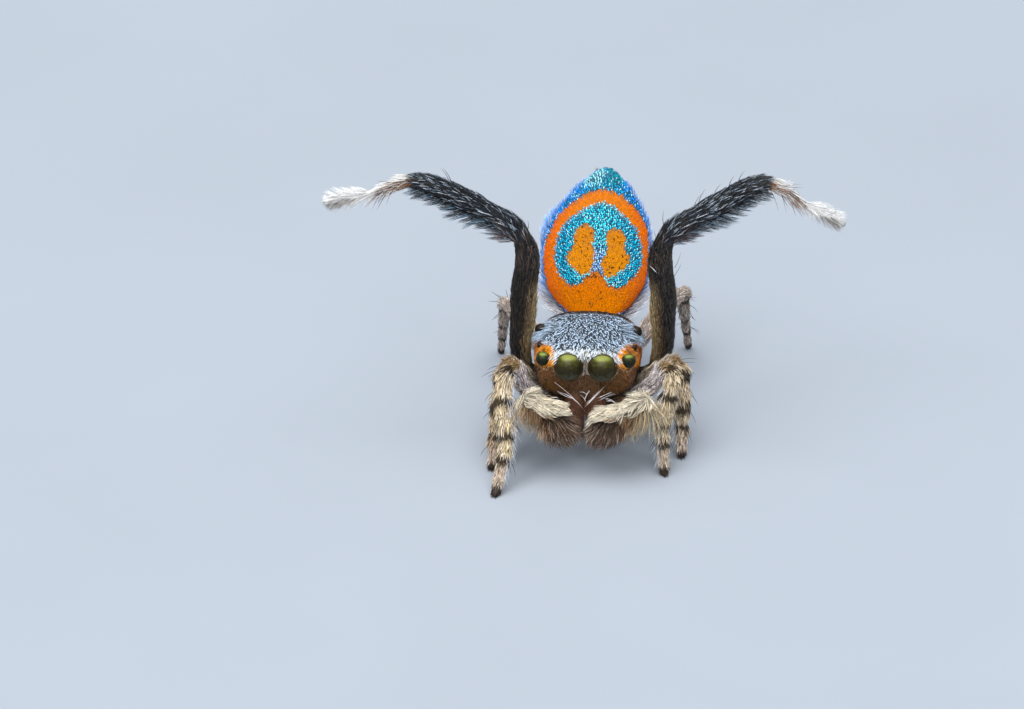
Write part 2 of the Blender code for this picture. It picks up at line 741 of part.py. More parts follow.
def build_eyes(carapace, collection, cutters):
    """The eight eyes, each a ball in its own socket in the carapace."""
    for kind in EYES:
        for side, word in SIDES:
            eye_ball("eye_" + kind + "_" + word, kind, side, 0.0, collection)
            socket = eye_ball("socket_" + kind + "_" + word, kind, side, GAP, cutters)
            cut_by(carapace, [socket])


def build_palp(side, word, collection, cutters, body_cutters, draw):
    """A pedipalp with its cream tuft, and the fuzzy tip that hangs under it."""
    line = smooth_line(mirrored(PALP_STALK + PALP_TUFTS[word], side))
    palp = tube("pedipalp_" + word, core_of(line), collection)
    grow_coat(palp, core_of(line), COATS["pedipalp"], draw)
    cut_by(palp, body_cutters)
    grown = [(x, y, z, radius + GAP) for x, y, z, radius in line]
    palp_cutter = tube("pedipalp_cutter_" + word, grown, cutters)
    centre = PALP_TIP_CENTRES[word]
    place = Matrix.Translation(turned((side * centre.x, *centre.yz)))
    place = place @ Matrix.Rotation(-side * PALP_TIP_TILT, 4, "Y")
    place = place @ Matrix.Diagonal((*PALP_TIP_RADII, 1.0))
    tip = ball("palp_tip_" + word, place, 14, 9, collection)
    grow_fuzz(tip, place, side, draw)
    cut_by(tip, [palp_cutter])


def main():
    clear_scene()
    draw = random.Random(LOCK_SEED)
    spider = new_collection("peacock_spider")
    cutters = new_collection("cutters")

    carapace = carapace_shell("carapace", 0.0, spider)
    carapace_cutter = carapace_shell("carapace_cutter", GAP, cutters)
    sternum_shell("sternum", 0.0, spider)
    sternum_cutter = sternum_shell("sternum_cutter", GAP, cutters)
    body_cutters = [sternum_cutter, carapace_cutter]
    build_eyes(carapace, spider, cutters)
    for side, word in SIDES:
        jaw = tube("chelicera_" + word, smooth_line(mirrored(CHELICERA_POINTS, side)), spider)
        cut_by(jaw, [carapace_cutter])
        build_palp(side, word, spider, cutters, body_cutters, draw)

    abdomen = abdomen_shell("abdomen", 0.0, spider)
    grow_fringe(abdomen, draw)
    abdomen_cutter = abdomen_shell("abdomen_cutter", GAP, cutters)
    pedicel = tube("pedicel", smooth_line(PEDICEL_POINTS), spider)
    cut_by(pedicel, [carapace_cutter, abdomen_cutter])
    spinnerets("spinnerets", spider, abdomen_cutter)

    for name, leg in LEGS.items():
        build_leg(name, leg, spider, body_cutters, draw)

    for cutter in cutters.objects:
        cutter.hide_render = True
        cutter.display_type = "WIRE"
    for obj in spider.objects:
        give_material(obj)
    finish(spider)


main()
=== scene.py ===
"""Finish of a museum model of a male peacock spider, life size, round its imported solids.

Shapes are worked out in millimetres in the animal's own frame, where X runs to its left, Y from
the face to the rear and Z up from the ground, and are moved into the model's metres at the end.
One skin stands for all the flesh, and the coat is grown on it as thin solid hairs and scales.
"""

import logging
import math
from collections.abc import Callable, Iterable, Sequence
from dataclasses import dataclass, field, replace
from enum import Enum

import bmesh
import bpy
import numpy as np
from bmesh.types import BMEdge, BMesh, BMVert
from bpy.types import Material, Mesh, Node, NodeSocket, NodeTree, Object
from mathutils import Matrix, Vector
from mathutils.bvhtree import BVHTree
from mathutils.geometry import interpolate_bezier
from mathutils.kdtree import KDTree


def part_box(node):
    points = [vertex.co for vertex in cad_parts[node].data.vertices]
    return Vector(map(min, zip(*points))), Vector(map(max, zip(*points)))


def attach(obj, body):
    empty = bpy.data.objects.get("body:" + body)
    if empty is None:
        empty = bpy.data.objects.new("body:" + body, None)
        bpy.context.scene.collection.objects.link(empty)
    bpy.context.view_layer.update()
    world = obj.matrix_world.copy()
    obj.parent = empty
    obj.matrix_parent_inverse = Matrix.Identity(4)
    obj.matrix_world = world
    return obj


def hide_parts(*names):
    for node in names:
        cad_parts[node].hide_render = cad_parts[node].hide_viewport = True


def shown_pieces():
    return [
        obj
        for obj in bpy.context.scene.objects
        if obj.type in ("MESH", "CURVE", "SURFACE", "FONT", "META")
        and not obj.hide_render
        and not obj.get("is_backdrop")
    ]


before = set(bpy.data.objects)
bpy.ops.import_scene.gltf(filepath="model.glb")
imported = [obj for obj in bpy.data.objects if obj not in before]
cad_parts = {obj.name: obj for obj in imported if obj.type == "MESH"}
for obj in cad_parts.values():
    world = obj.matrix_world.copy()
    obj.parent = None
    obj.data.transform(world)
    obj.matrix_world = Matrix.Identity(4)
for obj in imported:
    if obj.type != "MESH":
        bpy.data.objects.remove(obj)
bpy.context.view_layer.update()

log = logging.getLogger("peacock_spider")
Array = np.ndarray
Spot = tuple[float, float, float]
Ball = tuple[float, float, float, float]

METRES = 0.001
BODY_YAW = math.radians(-3.0)
SIDES = ((1, "left"), (-1, "right"))
UP = np.array((0.0, 0.0, 1.0))
FRONT = np.array((0.0, -1.0, 0.0))
LEFT = np.array((1.0, 0.0, 0.0))

# Depth of the short flat coat, which the skin leaves free under the solids' surface
COAT_DEPTH = 0.03
# A long-haired part's flesh, as a share of the radius out to the tips of its hair
CORE_SHARE = 0.74
ROOT_SINK = 0.004
LOWEST_HAIR = 0.004
BAKE_PATCH = 0.003
# The span that nearly all of a noise pattern's values lie in
NOISE_SPAN = (0.3, 0.7)


def linear(shade: str) -> Array:
    """Turns an sRGB colour into linear light.

    Args:
        shade: the colour as six hex digits.

    Returns:
        Red, green and blue from 0 to 1.
    """
    values = np.array([int(shade[start : start + 2], 16) / 255 for start in (0, 2, 4)])
    return np.where(values <= 0.04045, values / 12.92, ((values + 0.055) / 1.055) ** 2.4)


def unit(vectors: Array) -> Array:
    """Gives each vector, a row of the array, the length 1."""
    return vectors / np.maximum(np.linalg.norm(vectors, axis=-1, keepdims=True), 1e-12)


def ease(low: float, high: float, values: Array) -> Array:
    """Runs smoothly from 0 at low to 1 at high."""
    share = np.clip((values - low) / (high - low), 0.0, 1.0)
    return share * share * (3 - 2 * share)


def mix(near: Array | str, far: Array | str, share: Array) -> Array:
    """Mixes two colours, given as hex digits or as lists, by a share for each point."""
    near, far = (linear(shade) if isinstance(shade, str) else shade for shade in (near, far))
    return near + (far - near) * np.asarray(share)[:, None]


def turned(points: Array, yaw: float = BODY_YAW) -> Array:
    """Turns points of the straight body by its small yaw, or back by the negative."""
    cosine, sine = math.cos(yaw), math.sin(yaw)
    turn = np.array(((cosine, -sine, 0.0), (sine, cosine, 0.0), (0.0, 0.0, 1.0)))
    return np.asarray(points, float) @ turn.T


def body_offset() -> Array:
    """Finds how far the model's frame is moved from the animal's, from the left front eye."""
    low, high = (np.array(corner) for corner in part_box("eye_anterior_median_left"))
    return (low + high) / 2 - turned(Eyes.spots["anterior_median"][:3]) * METRES


def to_model(points: Array) -> Array:
    """Moves points in the animal's millimetres to the model's metres."""
    return np.asarray(points) * METRES + body_offset()


def mesh_of(name: str, shell: BMesh) -> Mesh:
    """Turns a shell into a mesh, and lets the shell go."""
    mesh = bpy.data.meshes.new(name)
    shell.to_mesh(mesh)
    shell.free()
    return mesh


def set_points(mesh: Mesh, points: Array) -> None:
    """Moves a mesh's corners to points in the animal's millimetres."""
    mesh.vertices.foreach_set("co", to_model(points).astype(np.float32).ravel())


def placed(name: str, data: bpy.types.ID) -> Object:
    """Puts a new object in the scene."""
    thing = bpy.data.objects.new(name, data)
    bpy.context.scene.collection.objects.link(thing)
    return thing


def extruded(shell: BMesh, edges: Sequence[BMEdge]) -> tuple[list[BMVert], list[BMEdge]]:
    """Extrudes a ring of edges, and gives the new ring's corners and edges."""
    made = bmesh.ops.extrude_edge_only(shell, edges=edges)["geom"]
    corners = [item for item in made if isinstance(item, BMVert)]
    fresh = set(corners)
    return corners, [item for item in made if isinstance(item, BMEdge) and fresh.issuperset(item.verts)]


def smooth_rows(rows: Sequence[Sequence[float]], steps: int) -> Array:
    """Fills in rows of sizes between the given ones, without overshoot.

    Args:
        rows: sizes at growing stations, with the station in the first column.
        steps: rows for each given span.

    Returns:
        The finer rows, the given ones among them.
    """
    table = np.array(rows, float)
    station, sizes = table[:, 0], table[:, 1:]
    slope = np.diff(sizes, axis=0) / np.diff(station)[:, None]
    inner = slope[:-1] * slope[1:]
    lean = np.where(inner > 0, 2 * inner / np.where(inner > 0, slope[:-1] + slope[1:], 1.0), 0.0)
    lean = np.vstack((slope[:1], lean, slope[-1:]))
    fine = []
    for index in range(len(station) - 1):
        width = station[index + 1] - station[index]
        for share in np.arange(steps) / steps:
            square, cube = share**2, share**3
            value = (2 * cube - 3 * square + 1) * sizes[index] + (3 * square - 2 * cube) * sizes[index + 1]
            value = value + (cube - 2 * square + share) * width * lean[index]
            value = value + (cube - square) * width * lean[index + 1]
            fine.append((station[index] + share * width, *value))
    fine.append(tuple(table[-1]))
    return np.array(fine)


def smooth_line(points: Sequence[Sequence[float]], steps: int = 6) -> Array:
    """Lays a smooth curve through points.

    Args:
        points: rows of x, y, z and radius.
        steps: points for each span.

    Returns:
        Finer rows of x, y, z and radius along the curve.
    """
    spots = [Vector(point[:3]) for point in points]
    ends = [spots[0] * 2 - spots[1], *spots, spots[-1] * 2 - spots[-2]]
    line = []
    for index, (near, far) in enumerate(zip(spots, spots[1:])):
        reach = (far - near).length / 3
        lead = (ends[index + 2] - ends[index]).normalized() * reach
        trail = (ends[index + 3] - ends[index + 1]).normalized() * reach
        for step, spot in enumerate(interpolate_bezier(near, near + lead, far - trail, far, steps + 1)[:-1]):
            share = step / steps
            line.append((*spot, points[index][3] * (1 - share) + points[index + 1][3] * share))
    line.append((*spots[-1], points[-1][3]))
    return np.array(line)


def rounded_ring(count: int, roundness: float) -> tuple[Array, Array]:
    """Gives the cosines and sines of a ring whose corners are filled out by its roundness."""
    angles = math.tau * np.arange(count) / count
    cosine, sine = np.cos(angles), np.sin(angles)
    power = 2.0 / roundness
    return np.sign(cosine) * np.abs(cosine) ** power, np.sign(sine) * np.abs(sine) ** power


def loft(rings: Sequence[Array]) -> BMesh:
    """Draws a closed shell by extruding a ring of points from station to station.

    Args:
        rings: for each station, as many points round the shell as at the others.

    Returns:
        The shell, with flat ends and its faces outwards.
    """
    shell = bmesh.new()
    bmesh.ops.create_circle(shell, cap_ends=True, radius=1.0, segments=len(rings[0]))
    corners, edges = list(shell.verts), list(shell.edges)
    for corner, point in zip(corners, rings[0]):
        corner.co = point
    for ring in rings[1:]:
        order = {tuple(corner.co): index for index, corner in enumerate(corners)}
        corners, edges = extruded(shell, edges)
        corners.sort(key=lambda corner: order[tuple(corner.co)])
        for corner, point in zip(corners, ring):
            corner.co = point
    bmesh.ops.contextual_create(shell, geom=edges)
    bmesh.ops.recalc_face_normals(shell, faces=shell.faces)
    return shell


def line_frames(spots: Array, toward: Array) -> tuple[Array, Array, Array]:
    """Finds the directions along and across a line.

    Args:
        spots: points of the line.
        toward: the side of the line that counts as its top.

    Returns:
        For each point the direction along the line, to its top and to its side.
    """
    along = unit(np.gradient(spots, axis=0))
    top = unit(toward - along * (along @ toward)[:, None])
    return along, top, np.cross(along, top)


def tube_rings(line: Array, toward: Array, count: int = 20) -> list[Array]:
    """Sets rings round a line, with rounded ends.

    Args:
        line: rows of x, y, z and radius.
        toward: the side of the line that counts as its top.
        count: points of a ring.

    Returns:
        The rings from one end to the other.
    """
    along, top, side = line_frames(line[:, :3], toward)
    angles = math.tau * np.arange(count) / count
    wheel = np.cos(angles)[:, None], np.sin(angles)[:, None]
    caps = [math.radians(angle) for angle in (75.0, 50.0, 25.0)]
    places = [(0, -math.sin(angle), math.cos(angle)) for angle in caps]
    places += [(index, 0.0, 1.0) for index in range(len(line))]
    places += [(len(line) - 1, math.sin(angle), math.cos(angle)) for angle in reversed(caps)]
    rings = []
    for index, ahead, share in places:
        radius = line[index, 3]
        centre = line[index, :3] + along[index] * radius * ahead
        rings.append(centre + (top[index] * wheel[0] + side[index] * wheel[1]) * radius * share)
    return rings


class Region(Enum):
    """Parts of the body that carry a coat of their own."""

    CARAPACE = "carapace"
    STERNUM = "sternum"
    PEDICEL = "pedicel"
    ABDOMEN = "abdomen"
    SPINNERETS = "spinnerets"
    JAW = "jaw"
    PALP = "palp"
    PALP_TIP = "palp_tip"
    LEG = "leg"


@dataclass
class Form:
    """One closed volume of the body, before all are made one skin.

    line runs down its middle, toward is the side of the line that counts as its top, and rings
    are the points of its surface.
    """

    name: str
    region: Region
    line: Array
    toward: Array
    rings: Sequence[Array]

    def locate(self, points: Array) -> tuple[Array, Array, Array]:
        """Finds where points lie along and round the form.

        Args:
            points: points in the animal's millimetres.

        Returns:
            The share of the line's length, the angle from its top and the line's direction.
        """
        starts, spans = self.line[:-1, :3], np.diff(self.line[:, :3], axis=0)
        lengths = np.linalg.norm(spans, axis=1)
        reach = points[:, None] - starts
        parts = np.clip(np.einsum("nmk,mk->nm", reach, spans) / lengths**2, 0.0, 1.0)
        feet = starts + spans * parts[..., None]
        nearest = np.linalg.norm(points[:, None] - feet, axis=2).argmin(axis=1)
        rows = np.arange(len(points))
        past = np.concatenate(([0.0], np.cumsum(lengths)))
        share = (past[nearest] + parts[rows, nearest] * lengths[nearest]) / past[-1]
        along = unit(spans)[nearest]
        away = points - feet[rows, nearest]
        top = unit(self.toward - along * (along @ self.toward)[:, None])
        side = np.cross(along, top)
        angle = np.arctan2((away * side).sum(axis=1), (away * top).sum(axis=1))
        return share, angle, along


@dataclass
class Roots:
    """Places on the skin where hairs or scales grow, one row each."""

    points: Array
    normals: Array
    form: Array
    share: Array
    angle: Array
    along: Array

    def __len__(self) -> int:
        """Counts the roots."""
        return len(self.points)

    def kept(self, chosen: Array) -> "Roots":
        """Leaves only the chosen roots, given by a mask or by their numbers."""
        return Roots(*(getattr(self, name)[chosen] for name in self.__dataclass_fields__))

    def joined(self, others: "Roots") -> "Roots":
        """Puts these roots and others in one list."""
        pairs = ((getattr(self, name), getattr(others, name)) for name in self.__dataclass_fields__)
        return Roots(*(np.concatenate(pair) for pair in pairs))

    def straight(self) -> Array:
        """Gives the places in the frame of the straight body."""
        return turned(self.points, -BODY_YAW)


def chances(seed: int, roots: Roots) -> Array:
    """Draws a number from 0 to 1 for each root."""
    return np.random.default_rng(seed).uniform(size=len(roots))


@dataclass(frozen=True)
class Blade:
    """A hair or scale: share of its length, width and thickness at each section, and flatness."""

    sections: tuple[Spot, ...]
    flatness: float

    def column(self, number: int, tip: float) -> Array:
        """Gives one size at every section, and its value at the tip."""
        return np.array([*(row[number] for row in self.sections), tip])

    def pattern(self) -> tuple[Array, Array, Array]:
        """Draws one blade by extruding a triangle from section to section up to its tip.

        Returns:
            Its corners (across, out, section), its triangles, and their places on a small patch.
        """
        shell = bmesh.new()
        bmesh.ops.create_circle(shell, cap_ends=True, radius=1.0, segments=3)
        bmesh.ops.rotate(shell, verts=shell.verts, matrix=Matrix.Rotation(math.radians(-30.0), 3, "Z"))
        edges = list(shell.edges)
        for _ in self.sections:
            corners, edges = extruded(shell, edges)
            bmesh.ops.translate(shell, verts=corners, vec=(0.0, 0.0, 1.0))
        bmesh.ops.pointmerge(shell, verts=corners, merge_co=(0.0, 0.0, float(len(self.sections))))
        bmesh.ops.recalc_face_normals(shell, faces=shell.faces)
        bmesh.ops.triangulate(shell, faces=shell.faces)
        shell.verts.index_update()
        places = np.array([vert.co[:] for vert in shell.verts])
        faces = np.array([[vert.index for vert in face.verts] for face in shell.faces])
        shell.free()
        spread = np.arctan2(places[:, 1], places[:, 0])[faces] / math.tau
        at_tip = np.hypot(places[:, 0], places[:, 1])[faces] < 0.5
        first = np.where(at_tip[:, :1], spread[:, 1:2], spread[:, :1])
        spread = np.where(at_tip, first, spread)
        spread = first + (spread - first + 0.5) % 1.0 - 0.5
        flat = (places[:, 2][faces] == 0).all(axis=1)
        rise = places[:, 2][faces] / len(self.sections)
        rise[flat] = (0.0, -0.08, -0.04)
        return places, faces, np.stack((spread - 0.1, rise - 0.5), axis=2)


@dataclass(frozen=True)
class Coat:
    """How a kind of hair or scale grows: spacing, length, width in mm, and its lie in degrees.

    rise and settle are the angles to the skin at the root and at the tip, way_play and
    length_play how much single hairs differ, curl how far a tip swings to one side. Where lock
    is a width in mm, tips come together in locks that wide, by the share gather.
    """

    blade: Blade
    spacing: float
    length: float
    width: float
    rise: float
    settle: float
    length_play: float = 0.22
    way_play: float = 12.0
    rise_play: float = 5.0
    shade_play: float = 0.16
    curl: float = 0.0
    lock: float = 0.0
    gather: float = 0.6


SCALE_BLADE = Blade(((0.0, 0.5, 1.0), (0.6, 1.0, 0.8)), 0.22)
SHORT_BLADE = Blade(((0.0, 0.8, 1.0), (0.55, 0.9, 0.8)), 0.5)
HAIR_BLADE = Blade(((0.0, 0.9, 1.0), (0.35, 1.0, 0.9), (0.72, 0.7, 0.6)), 0.6)
LONG_BLADE = Blade(((0.0, 1.0, 1.0), (0.25, 0.95, 0.95), (0.5, 0.8, 0.8), (0.75, 0.55, 0.55)), 0.7)


@dataclass(frozen=True)
class Strands:
    """Centre lines of many hairs with their sizes, ready to be given a surface."""

    spots: Array
    faces: Array
    widths: Array


def strand_mesh(name: str, blade: Blade, strands: Strands, tints: Array, homes: Array) -> Object:
    """Gives hairs their surface, as one object of closed blades.

    Args:
        name: name of the object.
        blade: cross-sections of one hair.
        strands: centre lines (hair, section, xyz), the upper side at each, and widths.
        tints: linear colour of each hair.
        homes: place of each hair's root on the unwrapped skin.

    Returns:
        The object, with its colours, its run from root to tip and its bake map.
    """
    pattern, faces, patch = blade.pattern()
    count, corners = len(strands.spots), len(pattern)
    section = pattern[:, 2].astype(int)
    shares, breadth, depth = (blade.column(*size)[section] for size in ((0, 1.0), (1, 0.0), (2, 0.0)))
    depth = depth * blade.flatness
    ahead = np.gradient(strands.spots, axis=1)
    side = unit(np.cross(ahead, strands.faces))
    half = strands.widths[:, None, None] / 2
    points = strands.spots[:, section] + side[:, section] * (pattern[:, 0] * breadth)[None, :, None] * half
    points = points + strands.faces[:, section] * (pattern[:, 1] * depth)[None, :, None] * half
    points = points.reshape(-1, 3)
    points[:, 2] = np.maximum(points[:, 2], LOWEST_HAIR)
    loops = (faces.reshape(-1)[None] + np.arange(count)[:, None] * corners).reshape(-1)
    mesh = bpy.data.meshes.new(name)
    mesh.vertices.add(len(points))
    set_points(mesh, points)
    mesh.loops.add(len(loops))
    mesh.loops.foreach_set("vertex_index", loops.astype(np.int32))
    mesh.polygons.add(len(loops) // 3)
    mesh.polygons.foreach_set("loop_start", np.arange(0, len(loops), 3, dtype=np.int32))
    mesh.update(calc_edges=True)
    mesh.shade_smooth()
    colours = np.ones((count, corners, 4), np.float32)
    colours[..., :3] = tints[:, None]
    mesh.color_attributes.new("tint", "FLOAT_COLOR", "POINT").data.foreach_set("color", colours.ravel())
    run = np.tile(shares.astype(np.float32), count)
    mesh.attributes.new("run", "FLOAT", "POINT").data.foreach_set("value", run)
    places = homes[:, None] + patch.reshape(1, -1, 2) * BAKE_PATCH
    mesh.uv_layers.new(name="OFBake").data.foreach_set("uv", places.astype(np.float32).ravel())
    return placed(name, mesh)


def unwrapped(roots: Roots) -> Array:
    """Lays roots out flat: each form of the body is a column, unrolled round its middle line."""
    kinds, column = np.unique(roots.form, return_inverse=True)
    across = (column + 0.03 + 0.94 * (roots.angle / math.tau + 0.5)) / len(kinds)
    return np.stack((across, 0.01 + 0.98 * roots.share), axis=1)


def gathered(spots: Array, share: float, pull: Array, draw: np.random.Generator) -> Array:
    """Bends hairs together into locks.

    Args:
        spots: centre lines (hair, section, xyz).
        share: how many of the hairs lead a lock.
        pull: for each section, how far it moves to its lock's leader.
        draw: the source of chance.

    Returns:
        The bent centre lines.
    """
    leaders = draw.choice(len(spots), max(1, int(len(spots) * min(share, 1.0))), replace=False)
    tree = KDTree(len(leaders))
    for number, index in enumerate(leaders):
        tree.insert(spots[index, 0], number)
    tree.balance()
    nearest = leaders[[tree.find(spot)[1] for spot in spots[:, 0]]]
    return spots + (spots[nearest] - spots) * pull[None, :, None]


def bristles(
    name: str, curves: Sequence[Array], widths: Array | float, tints: Array, margin: float
) -> Object:
    """Makes single long hairs from the bends given for them.

    Args:
        name: name of the object.
        curves: root, bend and tip of each hair.
        widths: thickness at the root of the hairs.
        tints: linear colour of the hairs.
        margin: edge that is left free on the unwrapped skin.

    Returns:
        The object of all the hairs.
    """
    count, bends = len(curves), np.array(curves)
    shares = LONG_BLADE.column(0, 1.0)[None, :, None]
    root, bend, tip = (bends[:, index][:, None] for index in range(3))
    spots = root * (1 - shares) ** 2 + bend * 2 * shares * (1 - shares) + tip * shares**2
    ahead = unit(np.gradient(spots, axis=1))
    faces = unit(np.cross(np.cross(ahead, np.broadcast_to(UP + 0.1 * FRONT, ahead.shape)), ahead))
    homes = np.column_stack((np.linspace(margin, 1 - margin, count), np.full(count, 0.5)))
    strands = Strands(spots, faces, np.broadcast_to(widths, count))
    thing = strand_mesh(name, LONG_BLADE, strands, np.broadcast_to(tints, (count, 3)), homes)
    log.info("%s: %d bristles", name, count)
    return thing


def add_node(
    tree: NodeTree,
    kind: str,
    values: dict[str | int, object] | None = None,
    links: dict[str | int, NodeSocket] | None = None,
    **settings: object,
) -> Node:
    """Adds one node to a material.

    Args:
        tree: the material's nodes.
        kind: Blender's name for the kind of node.
        values: values of its unlinked inputs.
        links: the outputs that its inputs are linked to.
        settings: its other fields.

    Returns:
        The node.
    """
    node = tree.nodes.new(kind)
    for field_name, value in settings.items():
        setattr(node, field_name, value)
    for socket, value in (values or {}).items():
        node.inputs[socket].default_value = value
    for socket, output in (links or {}).items():
        tree.links.new(output, node.inputs[socket])
    return node


def new_surface(name: str, **inputs: object) -> tuple[Material, Node]:
    """Starts a material.

    Args:
        name: its name.
        inputs: values of the shader's own sockets, with _ for a space in their names.

    Returns:
        The material and its shader node.
    """
    material = bpy.data.materials.new(name)
    material.use_nodes = True
    shader = material.node_tree.nodes["Principled BSDF"]
    for socket, value in inputs.items():
        shader.inputs[socket.replace("_", " ")].default_value = value
    return material, shader


def grain(tree: NodeTree, size_mm: float, kind: str = "ShaderNodeTexNoise", **values: float) -> Node:
    """Adds a pattern whose grain has a real size in millimetres."""
    place = add_node(tree, "ShaderNodeTexCoord")
    scale = 1.0 / (size_mm * METRES)
    return add_node(tree, kind, {"Scale": scale, **values}, {"Vector": place.outputs["Object"]})


def mapped(
    tree: NodeTree, level: NodeSocket, span: tuple[float, float], onto: tuple[float, float]
) -> NodeSocket:
    """Maps one span of a level onto another."""
    values = dict(zip(("From Min", "From Max", "To Min", "To Max"), (*span, *onto)))
    return add_node(tree, "ShaderNodeMapRange", values, {"Value": level}).outputs["Result"]


def scaled(tree: NodeTree, colour: NodeSocket, level: NodeSocket) -> NodeSocket:
    """Multiplies a colour by a level."""
    links = {0: colour, "Scale": level}
    return add_node(tree, "ShaderNodeVectorMath", links=links, operation="SCALE").outputs["Vector"]


def shaded(tree: NodeTree, level: NodeSocket, stops: Sequence[tuple[float, Array]]) -> NodeSocket:
    """Turns a level into a colour that runs through stops.

    Args:
        tree: the material's nodes.
        level: the output that carries the level.
        stops: pairs of a level and a linear colour, in growing order.

    Returns:
        The output that carries the colour.
    """
    ramp = add_node(tree, "ShaderNodeValToRGB", links={"Fac": level})
    marks = ramp.color_ramp.elements
    for mark, (position, colour) in zip(marks, (stops[0], stops[-1])):
        mark.position, mark.color = position, (*colour, 1.0)
    for position, colour in stops[1:-1]:
        marks.new(position).color = (*colour, 1.0)
    return ramp.outputs["Color"]


def tinted_by_noise(
    tree: NodeTree, grain_mm: float, dark: float, light: float, detail: float = 3.0
) -> NodeSocket:
    """Varies the piece's own tint with a grain of a real size.

    Args:
        tree: the material's nodes.
        grain_mm: size of the grain in millimetres.
        dark: what the tint is multiplied by in the grain's dark spots.
        light: what it is multiplied by in its light spots.
        detail: octaves of finer grain.

    Returns:
        The output that carries the colour.
    """
    tint = add_node(tree, "ShaderNodeAttribute", attribute_name="tint")
    noise = grain(tree, grain_mm, Detail=detail, Roughness=0.6)
    return scaled(tree, tint.outputs["Color"], mapped(tree, noise.outputs["Fac"], NOISE_SPAN, (dark, light)))


@dataclass(frozen=True)
class CuticleFinish:
    """Spider cuticle, grown in thin waxy layers: low gloss, with a net of fine cells."""

    name: str = "waxy_cuticle"
    roughness: float = 0.42
    grain_mm: float = 0.05
    cell_mm: float = 0.018
    cell_depth_mm: float = 0.004

    def material(self) -> Material:
        """Makes the material, whose fine cells break up the gloss."""
        material, shader = new_surface(self.name, Roughness=self.roughness, Specular_IOR_Level=0.45)
        tree = material.node_tree
        tree.links.new(tinted_by_noise(tree, self.grain_mm, 0.62, 1.25), shader.inputs["Base Color"])
        cells = grain(tree, self.cell_mm, "ShaderNodeTexVoronoi")
        depth = {"Strength": 0.35, "Distance": self.cell_depth_mm * METRES}
        bump = add_node(tree, "ShaderNodeBump", depth, {"Height": cells.outputs["Distance"]})
        tree.links.new(bump.outputs["Normal"], shader.inputs["Normal"])
        return material


@dataclass(frozen=True)
class HairFinish:
    """Spider hair, a hollow rod of chitin, with a painted shade at its root and painted light along it.

    root and tip are what the tint is multiplied by at the two ends: a painted shade at the root and
    painted light at the tip, which for grizzled hair is also its real pale end.
    """

    name: str
    roughness: float = 0.45
    specular: float = 0.5
    metallic: float = 0.0
    sheen: float = 0.0
    root: float = 0.55
    tip: float = 1.12
    grain_mm: float = 0.03

    def material(self) -> Material:
        """Makes the material from the piece's tint, a painted shade and painted light along its run from
        root to tip, and a fine grain.
        """
        material, shader = new_surface(
            self.name,
            Roughness=self.roughness,
            Specular_IOR_Level=self.specular,
            Metallic=self.metallic,
            Sheen_Weight=self.sheen,
        )
        tree = material.node_tree
        colour = tinted_by_noise(tree, self.grain_mm, 0.86, 1.14, 2.0)
        run = add_node(tree, "ShaderNodeAttribute", attribute_name="run")
        # Painted shade towards the root, painted light towards the tip
        level = mapped(tree, run.outputs["Fac"], (0.0, 0.8), (self.root, self.tip))
        tree.links.new(scaled(tree, colour, level), shader.inputs["Base Color"])
        return material

    def grow(
        self,
        name: str,
        coat: Coat,
        roots: Roots,
        ways: Array,
        tints: Array,
        seed: int,
        stretch: Array | float = 1.0,
        lift: Array | float = 0.0,
    ) -> Object:
        """Grows one hair of this finish at each root.

        Args:
            name: name of the object.
            coat: the kind of hair.
            roots: where the hairs stand.
            ways: direction that each hair points, before it is laid on the skin.
            tints: linear colour of the coat at each root.
            seed: seed of the differences between single hairs.
            stretch: length of each hair as a share of the coat's length.
            lift: degrees that each hair stands up more than the coat.

        Returns:
            The object of all the hairs, dressed.
        """
        draw = np.random.default_rng(seed)
        count = len(roots)
        out = roots.normals
        along = unit(ways - out * (ways * out).sum(axis=1)[:, None])
        swing = np.radians(draw.normal(0.0, coat.way_play, count))[:, None]
        along = along * np.cos(swing) + np.cross(out, along) * np.sin(swing)
        side = np.cross(along, out)
        length = coat.length * stretch * (1 + coat.length_play * draw.uniform(-1, 1, count))
        rise = np.radians(coat.rise + lift + draw.normal(0.0, coat.rise_play, count))
        settle = np.radians(coat.settle + np.asarray(lift) * 0.7)
        curl = coat.curl * draw.normal(0.0, 1.0, count)
        shares = coat.blade.column(0, 1.0)
        spots = np.empty((count, len(shares), 3))
        faces = np.empty_like(spots)
        spot, reached = roots.points - out * ROOT_SINK, 0.0
        for index, share in enumerate(shares):
            angle = (rise * (1 - share) + settle * share)[:, None]
            heading = along * np.cos(angle) + out * np.sin(angle) + side * (curl * share)[:, None]
            spot = spot + unit(heading) * ((share - reached) * length)[:, None]
            reached = share
            spots[:, index] = spot
            faces[:, index] = out * np.cos(angle) - along * np.sin(angle)
        if coat.lock and count:
            spots = gathered(spots, (coat.spacing / coat.lock) ** 2, coat.gather * shares**1.3, draw)
        widths = coat.width * (1 + 0.2 * draw.uniform(-1, 1, count))
        play = np.exp(draw.normal(0.0, coat.shade_play, count))[:, None]
        thing = strand_mesh(name, coat.blade, Strands(spots, faces, widths), tints * play, unwrapped(roots))
        log.info("%s: %d hairs, %d triangles", name, count, len(thing.data.polygons))
        return dressed(thing, self.material())


